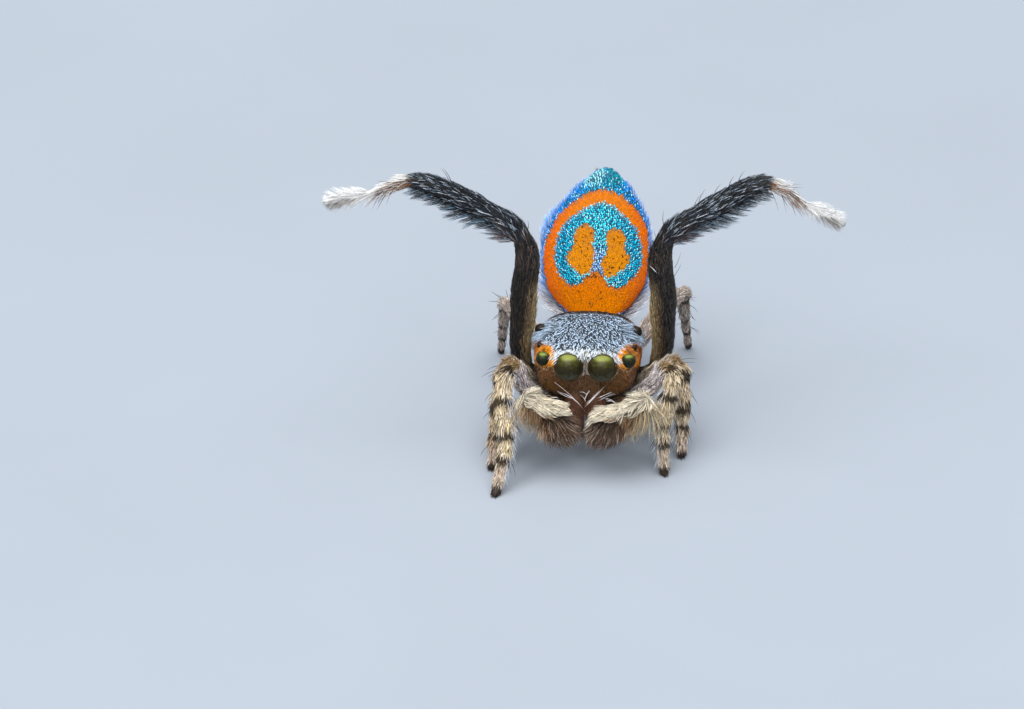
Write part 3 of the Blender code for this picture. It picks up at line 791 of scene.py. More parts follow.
@dataclass(frozen=True)
class LensFinish:
    """Cornea of a jumping spider's eye: clear, very smooth, over a dark olive depth.

    shades run from the lower edge of the eye to its top, partly a painted reflection of the ground;
    the second colour is a painted highlight, an overhead lamp's reflection under the lens's upper edge.
    """

    name: str
    shades: tuple[str, ...]
    highlight_shade: str
    cloud_mm: float = 0.055

    def material(self) -> Material:
        """Makes the material, dark at the eye's middle, with a painted reflection in its shades and a
        painted highlight under its top.
        """
        material, shader = new_surface(
            self.name,
            Roughness=0.4,
            Specular_IOR_Level=0.12,
            Coat_Weight=0.22,
            Coat_Roughness=0.10,
            Coat_IOR=1.35,
        )
        tree = material.node_tree
        # The shades by height are partly a painted reflection: grey-teal low down for the ground, olive near
        # the top
        height = add_node(tree, "ShaderNodeAttribute", attribute_name="height")
        # How strongly each point carries the painted highlight
        dome = add_node(tree, "ShaderNodeAttribute", attribute_name="dome")
        # A cloud of grain breaks up the edges of the painted reflection
        cloud = grain(tree, self.cloud_mm, Detail=4.0)
        soft = mapped(tree, cloud.outputs["Fac"], NOISE_SPAN, (-0.12, 0.12))
        moved = add_node(tree, "ShaderNodeMath", links={0: height.outputs["Fac"], 1: soft}, operation="ADD")
        stops = [(place, linear(shade)) for place, shade in zip((0.04, 0.22, 0.48, 0.68, 0.95), self.shades)]
        depth = shaded(tree, moved.outputs["Value"], stops)
        # The painted highlight, a soft overhead lamp's reflection, is laid over the shades in its own colour
        highlight_shade = {7: (*linear(self.highlight_shade), 1.0)}
        lit = add_node(tree, "ShaderNodeMix", highlight_shade, {0: dome.outputs["Fac"], 6: depth}, data_type="RGBA")
        tree.links.new(lit.outputs[2], shader.inputs["Base Color"])
        return material


@dataclass(frozen=True)
class HornFinish:
    """Hard dark cuticle of claws and eye rims: polished by wear, brown where it is thin."""

    name: str = "polished_horn"
    dark: str = "120c08"
    light: str = "4a2c16"
    grain_mm: float = 0.04

    def material(self) -> Material:
        """Makes the material, mottled from black to brown."""
        material, shader = new_surface(self.name, Roughness=0.22, Specular_IOR_Level=0.6)
        tree = material.node_tree
        noise = grain(tree, self.grain_mm, Detail=3.0)
        stops = ((0.40, linear(self.dark)), (0.75, linear(self.light)))
        tree.links.new(shaded(tree, noise.outputs["Fac"], stops), shader.inputs["Base Color"])
        return material


@dataclass(frozen=True)
class FloorFinish:
    """Matt laminate of a photo studio's table: pale, with a barely seen grain."""

    name: str = "matt_laminate"
    shade: str = "a0a7b0"
    grain_mm: float = 6.0

    def material(self) -> Material:
        """Makes the material, even but for a slight drift of its lightness."""
        material, shader = new_surface(self.name, Roughness=0.85, Specular_IOR_Level=0.2)
        tree = material.node_tree
        stops = ((0.0, linear(self.shade) * 0.94), (1.0, linear(self.shade) * 1.04))
        colour = shaded(tree, grain(tree, self.grain_mm).outputs["Fac"], stops)
        tree.links.new(colour, shader.inputs["Base Color"])
        return material


# Silver hair is smooth, with painted light at its ends over a painted shade at its roots, which gives the
# cap its depth
SILVER_HAIR = HairFinish("silver_hair", roughness=0.40, specular=0.5, sheen=0.1, root=0.45, tip=1.15)
# Cream and brown hair are matt, so they show their own colour and hardly any glint
CREAM_HAIR = HairFinish("cream_hair", roughness=0.6, specular=0.25, root=0.55, tip=1.12)
BROWN_HAIR = HairFinish("brown_hair", roughness=0.55, specular=0.3, root=0.55, tip=1.2)
# Black hair is smooth and flat, and shines where light grazes it
BLACK_HAIR = HairFinish("black_hair", roughness=0.32, specular=0.7, root=0.7, tip=1.1)
# White hair holds no pigment from root to tip, so its darker root is a painted shade; grizzled hair is dark
# with a pale end
WHITE_HAIR = HairFinish("white_hair", roughness=0.6, specular=0.3, root=0.82, tip=1.1)
GRIZZLED_HAIR = HairFinish("grizzled_hair", roughness=0.55, specular=0.3, root=0.5, tip=1.75)
# Scales coloured by pigment are soft and matt
PIGMENT_SCALE = HairFinish("pigment_scales", roughness=1.0, specular=0.0, root=0.84, tip=0.98, grain_mm=0.02)
# Scales coloured by their structure glint like metal, each at its own angle; a painted shade darkens their
# roots and a painted glint lightens their tips
MIRROR_SCALE = HairFinish("mirror_scales", roughness=0.42, specular=0.15, metallic=0.25, root=0.42, tip=1.5)
# The front lenses carry a painted olive highlight, the side ones a dimmer one, and the rear ones none
LENSES = LensFinish("front_lens", ("3e3a28", "4a4e40", "221c0a", "28240a", "46461a"), "858b42")
SIDE_LENSES = LensFinish("side_lens", ("141814", "28342e", "101208", "181c0a", "343a16"), "7c8836")
REAR_LENSES = LensFinish("rear_lens", ("0a0806", "100c0a", "0c0a08", "14100c", "241c14"), "2c241a")


def dressed(thing: Object, material: Material) -> Object:
    """Gives a piece its material, and lets it ride on the body."""
    thing.data.materials.clear()
    thing.data.materials.append(material)
    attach(thing, "root")
    return thing


@dataclass
class Skin:
    """All the flesh as one closed skin, with the markings that its coat carries."""

    voxel: float = 0.027
    smoothing: int = 2
    forms: list[Form] = field(default_factory=list)
    hide: "Hide | None" = None

    def build(self) -> Object:
        """Joins the forms, melts them into one skin and smooths it.

        Returns:
            The object of the skin, still in the animal's millimetres.
        """
        joined = bmesh.new()
        owners: list[int] = []
        for index, form in enumerate(self.forms):
            part = mesh_of(form.name, loft(form.rings))
            owners += [index] * len(part.polygons)
            joined.from_mesh(part)
            bpy.data.meshes.remove(part)
        tree = BVHTree.FromBMesh(joined)
        thing = placed("skin", mesh_of("rough_skin", joined))
        melt = thing.modifiers.new("melt", "REMESH")
        melt.mode = "VOXEL"
        melt.voxel_size = self.voxel
        even = thing.modifiers.new("even", "SMOOTH")
        even.iterations = self.smoothing
        graph = bpy.context.evaluated_depsgraph_get()
        mesh = bpy.data.meshes.new_from_object(thing.evaluated_get(graph))
        thing.modifiers.clear()
        thing.data = mesh
        mesh.name = "skin"
        mesh.shade_smooth()
        nearest = [owners[tree.find_nearest(vert.co)[2]] for vert in mesh.vertices]
        self.hide = Hide(mesh, self.forms, np.array(nearest))
        log.info("skin: %d faces from %d forms", len(mesh.polygons), len(self.forms))
        return thing

    def finish(self, thing: Object, tint: Callable[[Roots], Array]) -> None:
        """Paints the markings on the skin, moves it into the model and dresses it.

        Args:
            thing: the skin's object.
            tint: gives the coat's colours at places on the skin.
        """
        hide = self.hide
        colours = tint(hide.everywhere())
        for _ in range(2):
            colours = hide.blurred(colours)
        values = np.ones((len(colours), 4), np.float32)
        values[:, :3] = colours
        layer = thing.data.color_attributes.new("tint", "FLOAT_COLOR", "POINT")
        layer.data.foreach_set("color", values.ravel())
        set_points(thing.data, hide.points)
        thing.data.update()
        dressed(thing, CuticleFinish().material())
        eyes = ("eye_",)
        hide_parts(*(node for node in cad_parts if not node.startswith(eyes)))


class Hide:
    """The skin's surface as arrays, where the coat finds its roots."""

    def __init__(self, mesh: Mesh, forms: Sequence[Form], owners: Array) -> None:
        """Reads the skin's mesh.

        Args:
            mesh: the skin, in the animal's millimetres.
            forms: the forms that it was melted from.
            owners: for each point of the skin, the number of its form.
        """
        self.forms = forms
        self.owners = owners
        self.tree: BVHTree | None = None
        count = len(mesh.vertices)
        points, normals = np.empty(count * 3, np.float32), np.empty(count * 3, np.float32)
        mesh.vertices.foreach_get("co", points)
        mesh.vertices.foreach_get("normal", normals)
        self.points = points.reshape(-1, 3).astype(float)
        self.normals = normals.reshape(-1, 3).astype(float)
        mesh.calc_loop_triangles()
        corners = np.empty(len(mesh.loop_triangles) * 3, np.int32)
        mesh.loop_triangles.foreach_get("vertices", corners)
        self.corners = corners.reshape(-1, 3)
        edges = np.empty(len(mesh.edges) * 2, np.int32)
        mesh.edges.foreach_get("vertices", edges)
        self.edges = edges.reshape(-1, 2)

    def blurred(self, values: Array) -> Array:
        """Averages a value of each point with those of its neighbours."""
        total, count = values.copy(), np.ones(len(values))
        for near, far in ((0, 1), (1, 0)):
            np.add.at(total, self.edges[:, near], values[self.edges[:, far]])
            np.add.at(count, self.edges[:, near], 1.0)
        return total / count[:, None]

    def rooted(self, points: Array, normals: Array, owners: Array) -> Roots:
        """Finds each place along and round its form."""
        share, angle, along = np.zeros(len(points)), np.zeros(len(points)), np.zeros((len(points), 3))
        for index in np.unique(owners):
            chosen = owners == index
            share[chosen], angle[chosen], along[chosen] = self.forms[index].locate(points[chosen])
        return Roots(points, normals, owners, share, angle, along)

    def everywhere(self) -> Roots:
        """Gives every point of the skin as a place with its form."""
        return self.rooted(self.points, self.normals, self.owners)

    def roots(self, names: Iterable[str], spacing: float, seed: int) -> Roots:
        """Spreads roots evenly over some forms.

        Args:
            names: names of the forms.
            spacing: distance between neighbours, in millimetres.
            seed: seed of the spread.

        Returns:
            The roots.
        """
        wanted = {index for index, form in enumerate(self.forms) if form.name in set(names)}
        chosen = self.corners[np.isin(self.owners[self.corners[:, 0]], list(wanted))]
        first, second, third = (self.points[chosen[:, index]] for index in range(3))
        areas = np.linalg.norm(np.cross(second - first, third - first), axis=1) / 2
        draw = np.random.default_rng(seed)
        count = int(areas.sum() / spacing**2 * 4)
        picked = np.searchsorted(np.cumsum(areas), draw.uniform(0.0, areas.sum(), count))
        picked = np.minimum(picked, len(areas) - 1)
        left, right = draw.uniform(size=(2, count, 1))
        over = left + right > 1
        left, right = np.where(over, 1 - left, left), np.where(over, 1 - right, right)
        rest = 1 - left - right
        points = first[picked] * rest + second[picked] * left + third[picked] * right
        ids = chosen[picked]
        shares = enumerate((rest, left, right))
        normals = unit(sum(self.normals[ids[:, corner]] * share for corner, share in shares))
        cells = np.floor(points / spacing)
        off_centre = np.linalg.norm(points / spacing - cells - 0.5, axis=1)
        order = np.lexsort((off_centre, *cells.T))
        ordered = cells[order]
        starts = np.ones(count, bool)
        starts[1:] = (ordered[1:] != ordered[:-1]).any(axis=1)
        keep = order[starts]
        keep = keep[self.uncrowded(points[keep], cells[keep], spacing * 0.72, draw)]
        return self.rooted(points[keep], normals[keep], self.owners[ids[keep, 0]])

    @staticmethod
    def uncrowded(points: Array, cells: Array, least: float, draw: np.random.Generator) -> Array:
        """Finds which points to keep so that none stand too close together.

        Args:
            points: the points, one for each cell.
            cells: whole numbers of each point's cell.
            least: the least distance between two points.
            draw: the source of chance.

        Returns:
            A mask of the points.
        """
        cells = (cells - cells.min(axis=0)).astype(np.int64) + 1
        spans = cells.max(axis=0) + 3
        steps = np.array((1, spans[0], spans[0] * spans[1]))
        keys = cells @ steps
        order = np.argsort(keys)
        rank, kept = draw.permutation(len(points)), np.ones(len(points), bool)
        for offset in np.ndindex(3, 3, 3):
            if offset <= (1, 1, 1):
                continue
            wanted = keys + (np.array(offset) - 1) @ steps
            place = np.minimum(np.searchsorted(keys[order], wanted), len(keys) - 1)
            other = order[place]
            close = (keys[other] == wanted) & kept & kept[other]
            close &= np.linalg.norm(points - points[other], axis=1) < least
            loser = np.where(rank > rank[other], np.arange(len(points)), other)[close]
            kept[loser] = False
        return kept

    def struck(self, starts: Array, way: Array) -> Roots:
        """Finds where straight lines meet the skin.

        Args:
            starts: where the lines start.
            way: the direction of all of them.

        Returns:
            The places that the lines meet first.
        """
        if self.tree is None:
            self.tree = BVHTree.FromPolygons(self.points.tolist(), self.corners.tolist())
        hits = [self.tree.ray_cast(start, way) for start in starts]
        hits = [hit for hit in hits if hit[0] is not None]
        points = np.array([hit[0][:] for hit in hits])
        near = self.corners[[hit[2] for hit in hits]]
        return self.rooted(points, unit(self.normals[near].sum(axis=1)), self.owners[near[:, 0]])


@dataclass(frozen=True)
class Outline:
    """A closed smooth line round a marking, as points (side, station) in mm on the abdomen."""

    points: tuple[tuple[float, float], ...]

    def curve(self) -> Array:
        """Rounds the line between its points."""
        spots = np.array(self.points)
        before, after, beyond = np.roll(spots, 1, 0), np.roll(spots, -1, 0), np.roll(spots, -2, 0)
        steps = [
            0.5 * (2 * spots + (after - before) * t + (2 * before - 5 * spots + 4 * after - beyond) * t**2
                   + (3 * spots - before - 3 * after + beyond) * t**3)
            for t in (0.0, 0.25, 0.5, 0.75)
        ]
        return np.stack(steps, axis=1).reshape(-1, 2)

    def depth(self, places: Array) -> Array:
        """Measures how far places lie inside the line, with less than 0 outside it."""
        near = self.curve()
        far = np.roll(near, -1, 0)
        span = far - near
        reach = places[:, None] - near
        part = np.clip((reach * span).sum(2) / (span**2).sum(1), 0.0, 1.0)
        distance = np.linalg.norm(reach - span * part[..., None], axis=2).min(axis=1)
        above = (near[:, 1] > places[:, None, 1]) != (far[:, 1] > places[:, None, 1])
        rise = np.where(span[:, 1] == 0, 1e-9, span[:, 1])
        cross = near[:, 0] + (places[:, None, 1] - near[:, 1]) / rise * span[:, 0]
        inside = ((places[:, None, 0] < cross) & above).sum(axis=1) % 2 == 1
        return np.where(inside, distance, -distance)


@dataclass(frozen=True)
class Abdomen:
    """The raised abdomen: its shape, the fan of markings on its upper side and its fringes."""

    base: Spot = (0.18, 2.64, 0.98)
    lean: float = math.radians(12.0)
    side_bend: float = 0.0444
    bend_start: float = 0.80
    roundness: float = 2.3
    # Distance between the mirror scales of a row, and from row to row
    scale_rows: tuple[float, float] = (0.0255, 0.0350)
    # Distance from the base, half width, depth to the front and depth to the rear
    stations: tuple[Ball, ...] = (
        (0.00, 0.16, 0.12, 0.16),
        (0.10, 0.30, 0.18, 0.36),
        (0.30, 0.46, 0.22, 0.58),
        (0.60, 0.71, 0.24, 0.74),
        (0.94, 0.88, 0.25, 0.80),
        (1.35, 0.92, 0.25, 0.78),
        (1.70, 0.90, 0.24, 0.70),
        (2.06, 0.765, 0.21, 0.57),
        (2.30, 0.62, 0.18, 0.46),
        (2.50, 0.48, 0.15, 0.36),
        (2.68, 0.32, 0.12, 0.25),
        (2.80, 0.19, 0.08, 0.15),
        (2.86, 0.08, 0.04, 0.06),
    )
    ring_line: Outline = Outline((
        (-0.13, 2.50), (0.00, 2.51), (0.14, 2.48), (0.33, 2.39), (0.62, 2.12), (0.79, 1.85),
        (0.85, 1.50), (0.86, 1.15), (0.82, 0.78), (0.645, 0.50), (0.40, 0.36), (0.0, 0.28),
        (-0.38, 0.36), (-0.56, 0.50), (-0.74, 0.71), (-0.83, 1.01), (-0.86, 1.27), (-0.85, 1.55),
        (-0.77, 1.83), (-0.62, 2.12), (-0.36, 2.37),
    ))
    field_line: Outline = Outline((
        (-0.05, 2.29), (0.09, 2.29), (0.28, 2.19), (0.47, 2.00), (0.63, 1.85), (0.71, 1.63),
        (0.76, 1.40), (0.75, 1.24), (0.68, 1.06), (0.53, 0.91), (0.36, 0.82), (0.22, 0.88),
        (0.15, 1.00), (0.0, 1.115), (-0.15, 1.02), (-0.25, 0.92), (-0.40, 0.88), (-0.54, 0.98),
        (-0.65, 1.18), (-0.69, 1.40), (-0.66, 1.67), (-0.61, 1.87), (-0.46, 2.05), (-0.27, 2.19),
    ))
    left_patch: Outline = Outline((
        (0.29, 1.85), (0.39, 1.81), (0.455, 1.71), (0.46, 1.60), (0.455, 1.49), (0.53, 1.38),
        (0.55, 1.28), (0.46, 1.15), (0.33, 1.06), (0.19, 1.02), (0.12, 1.10), (0.09, 1.26),
        (0.14, 1.42), (0.18, 1.52), (0.15, 1.62), (0.15, 1.76), (0.20, 1.83),
    ))
    right_patch: Outline = Outline((
        (-0.23, 1.94), (-0.13, 1.90), (-0.06, 1.79), (-0.065, 1.66), (-0.08, 1.56), (-0.035, 1.46),
        (-0.04, 1.36), (-0.055, 1.22), (-0.12, 1.08), (-0.21, 1.06), (-0.32, 1.13), (-0.43, 1.27),
        (-0.49, 1.39), (-0.41, 1.50), (-0.375, 1.60), (-0.385, 1.72), (-0.34, 1.86),
    ))

    def axes(self) -> tuple[Array, Array]:
        """Gives the directions from base to tip, and out of the upper side."""
        cosine, sine = math.cos(self.lean), math.sin(self.lean)
        return np.array((0.0, sine, cosine)), np.array((0.0, -cosine, sine))

    def centres(self, stations: Array) -> Array:
        """Gives the points of the middle line at distances from the base."""
        rise, _ = self.axes()
        past = np.maximum(stations - self.bend_start, 0.0)
        return np.array(self.base) + stations[:, None] * rise + (self.side_bend * past**2)[:, None] * LEFT

    def rows(self) -> Array:
        """Gives the fine stations of the shape."""
        return smooth_rows(self.stations, 4)

    def form(self) -> Form:
        """Draws the abdomen's volume, inside its coat."""
        _, front = self.axes()
        cosine, sine = rounded_ring(48, self.roundness)
        rows = self.rows()
        centres = self.centres(rows[:, 0])
        rings = []
        for centre, (_, half_width, fore, aft) in zip(centres, rows):
            depth = np.maximum(np.where(sine > 0, fore, aft) - COAT_DEPTH, 0.01)
            breadth = max(half_width - COAT_DEPTH, 0.01)
            rings.append(centre + (breadth * cosine)[:, None] * LEFT + (depth * sine)[:, None] * front)
        line = np.column_stack((centres, rows[:, 1]))
        return Form("abdomen", Region.ABDOMEN, line, front, rings)

    def places(self, roots: Roots) -> tuple[Array, Array, Array]:
        """Finds places on the abdomen.

        Args:
            roots: places on the skin.

        Returns:
            Side and station of each in mm, and how far it looks to the front, from -1 to 1.
        """
        rise, front = self.axes()
        station = (roots.points - np.array(self.base)) @ rise
        side = roots.points[:, 0] - self.centres(station)[:, 0]
        return side, station, roots.normals @ front

    def spread(self, side: Array, station: Array) -> Array:
        """Gives how far places lie from the middle line, with 1 at the rims."""
        table = np.array(self.stations)
        return np.abs(side) / np.interp(station, table[:, 0], table[:, 1])

    def tint(self, roots: Roots) -> tuple[Array, Array]:
        """Colours places on the abdomen.

        Args:
            roots: places on the skin.

        Returns:
            The linear colours, and which places carry scales that glint.
        """
        side, station, facing = self.places(roots)
        flat = np.column_stack((side, station))
        # Each scale stands a little off the line, as its neighbours overlap
        wobble = 0.010 * np.sin(side * 61.0 + station * 37.0) + 0.008 * np.sin(station * 83.0 - side * 29.0)
        ring = self.ring_line.depth(flat) + wobble
        field_depth = self.field_line.depth(flat) + wobble
        patch = np.maximum(self.left_patch.depth(flat), self.right_patch.depth(flat)) + wobble
        spread = self.spread(side, station)
        orange = mix("f08200", "f07000", ease(0.55, 0.95, spread))
        orange = mix(orange, "fc9000", ease(0.95, 0.45, station) * ease(0.9, 0.5, spread))
        gold = mix("e68c00", "f09602", ease(1.75, 1.35, station))
        teal = mix("40dcf6", "10b4dc", ease(0.20, 0.65, spread))
        stem = ease(0.15, 0.06, np.abs(side - 0.03)) * ease(1.62, 1.44, station)
        teal = mix(teal, "8cb8f4", stem)
        crown = mix("12b4e4", "1c8cee", ease(0.35, 0.85, spread))
        crown = mix(crown, "6ea6f6", ease(2.0, 1.6, station))
        apex = ease(2.50, 2.66, station)
        crown = mix(crown, "9ae4ec", apex * ease(0.02, -0.06, side))
        crown = mix(crown, "129aa6", apex * ease(-0.02, 0.08, side))
        rear = mix("a89c8c", "7c6a58", ease(-0.5, -0.95, facing))
        rear = mix(rear, "5fa4d8", ease(2.3, 2.6, station))
        colours = mix(crown, rear, ease(-0.15, -0.45, facing))
        front = facing > 0.0
        on_ring, on_field, on_patch = front & (ring > 0), front & (field_depth > 0), front & (patch > 0)
        colours[on_ring] = orange[on_ring]
        colours[on_field] = teal[on_field]
        colours[on_patch] = gold[on_patch]
        glint = (~on_ring & (facing > np.where(station > 2.45, -0.6, -0.35))) | (on_field & ~on_patch)
        return colours, glint

    def lie(self, roots: Roots) -> Array:
        """Lays the scales from base to tip, fanned out to both sides."""
        side, _, _ = self.places(roots)
        rise, _ = self.axes()
        return rise + LEFT * (np.clip(side / 0.9, -1.2, 1.2) * 0.8)[:, None]

    def rows_of_scales(self, hide: Hide) -> Roots:
        """Sets the scales of the upper side in staggered rows, and scatters them near the rims."""
        _, front = self.axes()
        across, along = self.scale_rows
        columns = int(0.95 / across)
        grid = np.mgrid[-columns : columns + 1, 0 : int(2.8 / along)].reshape(2, -1).T.astype(float)
        grid[:, 0] += 0.5 * (grid[:, 1] % 2)
        places = grid * (across, along) + np.random.default_rng(14).normal(0.0, 0.0055, grid.shape)
        starts = self.centres(places[:, 1]) + places[:, :1] * LEFT + front * 0.32
        body = next(index for index, form in enumerate(hide.forms) if form.region is Region.ABDOMEN)
        straight = hide.struck(starts, -front)
        _, station, facing = self.places(straight)
        inside = (facing > 0.45) & (station > 0.12) & (station < 2.45)
        straight = straight.kept((straight.form == body) & inside)
        loose = hide.roots(["abdomen"], across, 15)
        _, station, facing = self.places(loose)
        ends = (station <= 0.12) & (facing > 0) | (station >= 2.45) & (facing > -0.6)
        loose = loose.kept((facing <= 0.45) & (facing > -0.4) | ends)
        return straight.joined(loose)

    def dress(self, hide: Hide) -> list[Object]:
        """Grows the abdomen's scales, strokes, fringe and rear hair."""
        fine = Coat(
            SCALE_BLADE, spacing=0.0215, length=0.052, width=0.023, rise=14.0, settle=5.0,
            way_play=13.0, shade_play=0.05,
        )
        bright = Coat(
            SCALE_BLADE, spacing=self.scale_rows[0], length=0.054, width=0.0280, rise=16.0, settle=5.0,
            length_play=0.18, way_play=15.0, rise_play=4.0, shade_play=0.13,
        )
        made = []
        roots = hide.roots(["abdomen"], fine.spacing, 11)
        _, _, facing = self.places(roots)
        roots = roots.kept(facing > -0.25)
        tints, glint = self.tint(roots)
        roots, tints, ways = roots.kept(~glint), tints[~glint], self.lie(roots)[~glint]
        made.append(PIGMENT_SCALE.grow("abdomen_pigment_scales", fine, roots, ways, tints, 13))
        roots = self.rows_of_scales(hide)
        tints, glint = self.tint(roots)
        roots, tints = roots.kept(glint), tints[glint]
        lively = chances(16, roots)
        # Pale flecks are painted glints of single scales; other scales are made darker at random
        tints = mix(tints, "c8f6fc", (lively > 0.84) * 0.6)
        tints = mix(tints, "0c6a90", (lively < 0.20) * 0.8)
        ways = self.lie(roots)
        made.append(MIRROR_SCALE.grow("abdomen_mirror_scales", bright, roots, ways, tints, 17))
        return made + [self.strokes(hide), self.rear(hide), self.fringe(hide)]

    def strokes(self, hide: Hide) -> Object:
        """Scatters the dark scales in the gold patches and dark strokes near the base."""
        coat = Coat(
            SHORT_BLADE, spacing=0.030, length=0.052, width=0.023, rise=26.0, settle=12.0,
            length_play=0.4, way_play=50.0, shade_play=0.3,
        )
        roots = hide.roots(["abdomen"], coat.spacing, 24)
        side, station, facing = self.places(roots)
        flat = np.column_stack((side, station))
        patch = np.maximum(self.left_patch.depth(flat), self.right_patch.depth(flat))
        chance = chances(25, roots)
        in_patch = (patch > 0.02) & (chance < 0.085)
        in_base = (station < 0.85) & (station > 0.05) & (np.abs(side) < 0.75) & (chance < 0.02)
        low_edge = (station < 0.16) & (chance < 0.35)
        stem_foot = (np.abs(side + 0.01) < 0.17) & (np.abs(station - 1.05) < 0.04) & (chance < 0.5)
        chosen = (facing > 0.1) & (in_patch | in_base | low_edge | stem_foot)
        roots = roots.kept(chosen)
        tints = mix("2c1a06", "5a3604", chance[chosen] * 6 % 1)
        return BROWN_HAIR.grow("abdomen_strokes", coat, roots, self.lie(roots), tints, 26)

    def rear(self, hide: Hide) -> Object:
        """Grows the plain hair of the abdomen's underside, which faces the rear."""
        coat = Coat(
            SHORT_BLADE, spacing=0.034, length=0.12, width=0.022, rise=16.0, settle=5.0,
            shade_play=0.25,
        )
        roots = hide.roots(["abdomen"], coat.spacing, 17)
        _, _, facing = self.places(roots)
        roots = roots.kept(facing < -0.22)
        tints, _ = self.tint(roots)
        pale = chances(18, roots) < 0.35
        tints = mix(tints, "d8d0c0", pale * 0.8)
        return CREAM_HAIR.grow("abdomen_rear_hair", coat, roots, self.lie(roots), tints, 19)

    def fringe(self, hide: Hide) -> Object:
        """Grows the pale blue and silver hair that stands out along both rims."""
        coat = Coat(
            LONG_BLADE, spacing=0.0215, length=0.25, width=0.0100, rise=34.0, settle=12.0,
            length_play=0.45, way_play=17.0, rise_play=7.0, shade_play=0.12, curl=0.3, lock=0.08,
            gather=0.45,
        )
        roots = hide.roots(["abdomen"], coat.spacing, 21)
        side, station, facing = self.places(roots)
        chance = chances(22, roots)
        low = ease(0.95, 0.40, station)
        shoulder = ease(0.45, 0.1, np.abs(station - 1.7)) * (side < 0)
        rim = (facing < 0.22) & (facing > -0.5) & (station < 2.6)
        rim &= chance < 0.5 + 0.35 * shoulder + 0.5 * low
        base = (station < 0.46) & (np.abs(side) > 0.26) & (facing > -0.6) & (facing < 0.35)
        low_edge = (station < 0.13) & (facing > 0.2)
        chosen = rim | base | low_edge
        roots, low, shoulder, low_edge = roots.kept(chosen), low[chosen], shoulder[chosen], low_edge[chosen]
        outward = np.sign(roots.points[:, 0] - self.base[0])
        ways = self.lie(roots) + (outward * (0.25 + 0.35 * low))[:, None] * LEFT
        pale = (chance[chosen] * 23 % 1 > 0.5)
        blue = mix("62a8f6", "c8e0fa", pale * 0.9)
        silver = mix("ffffff", "a49eb4", chance[chosen] * 41 % 1 > 0.66)
        tints = mix(blue, silver, low)
        stretch = np.where(low_edge, 0.35, 0.60 + 1.25 * low + 0.35 * shoulder)
        return WHITE_HAIR.grow("abdomen_fringe", coat, roots, ways, tints, 23, stretch)


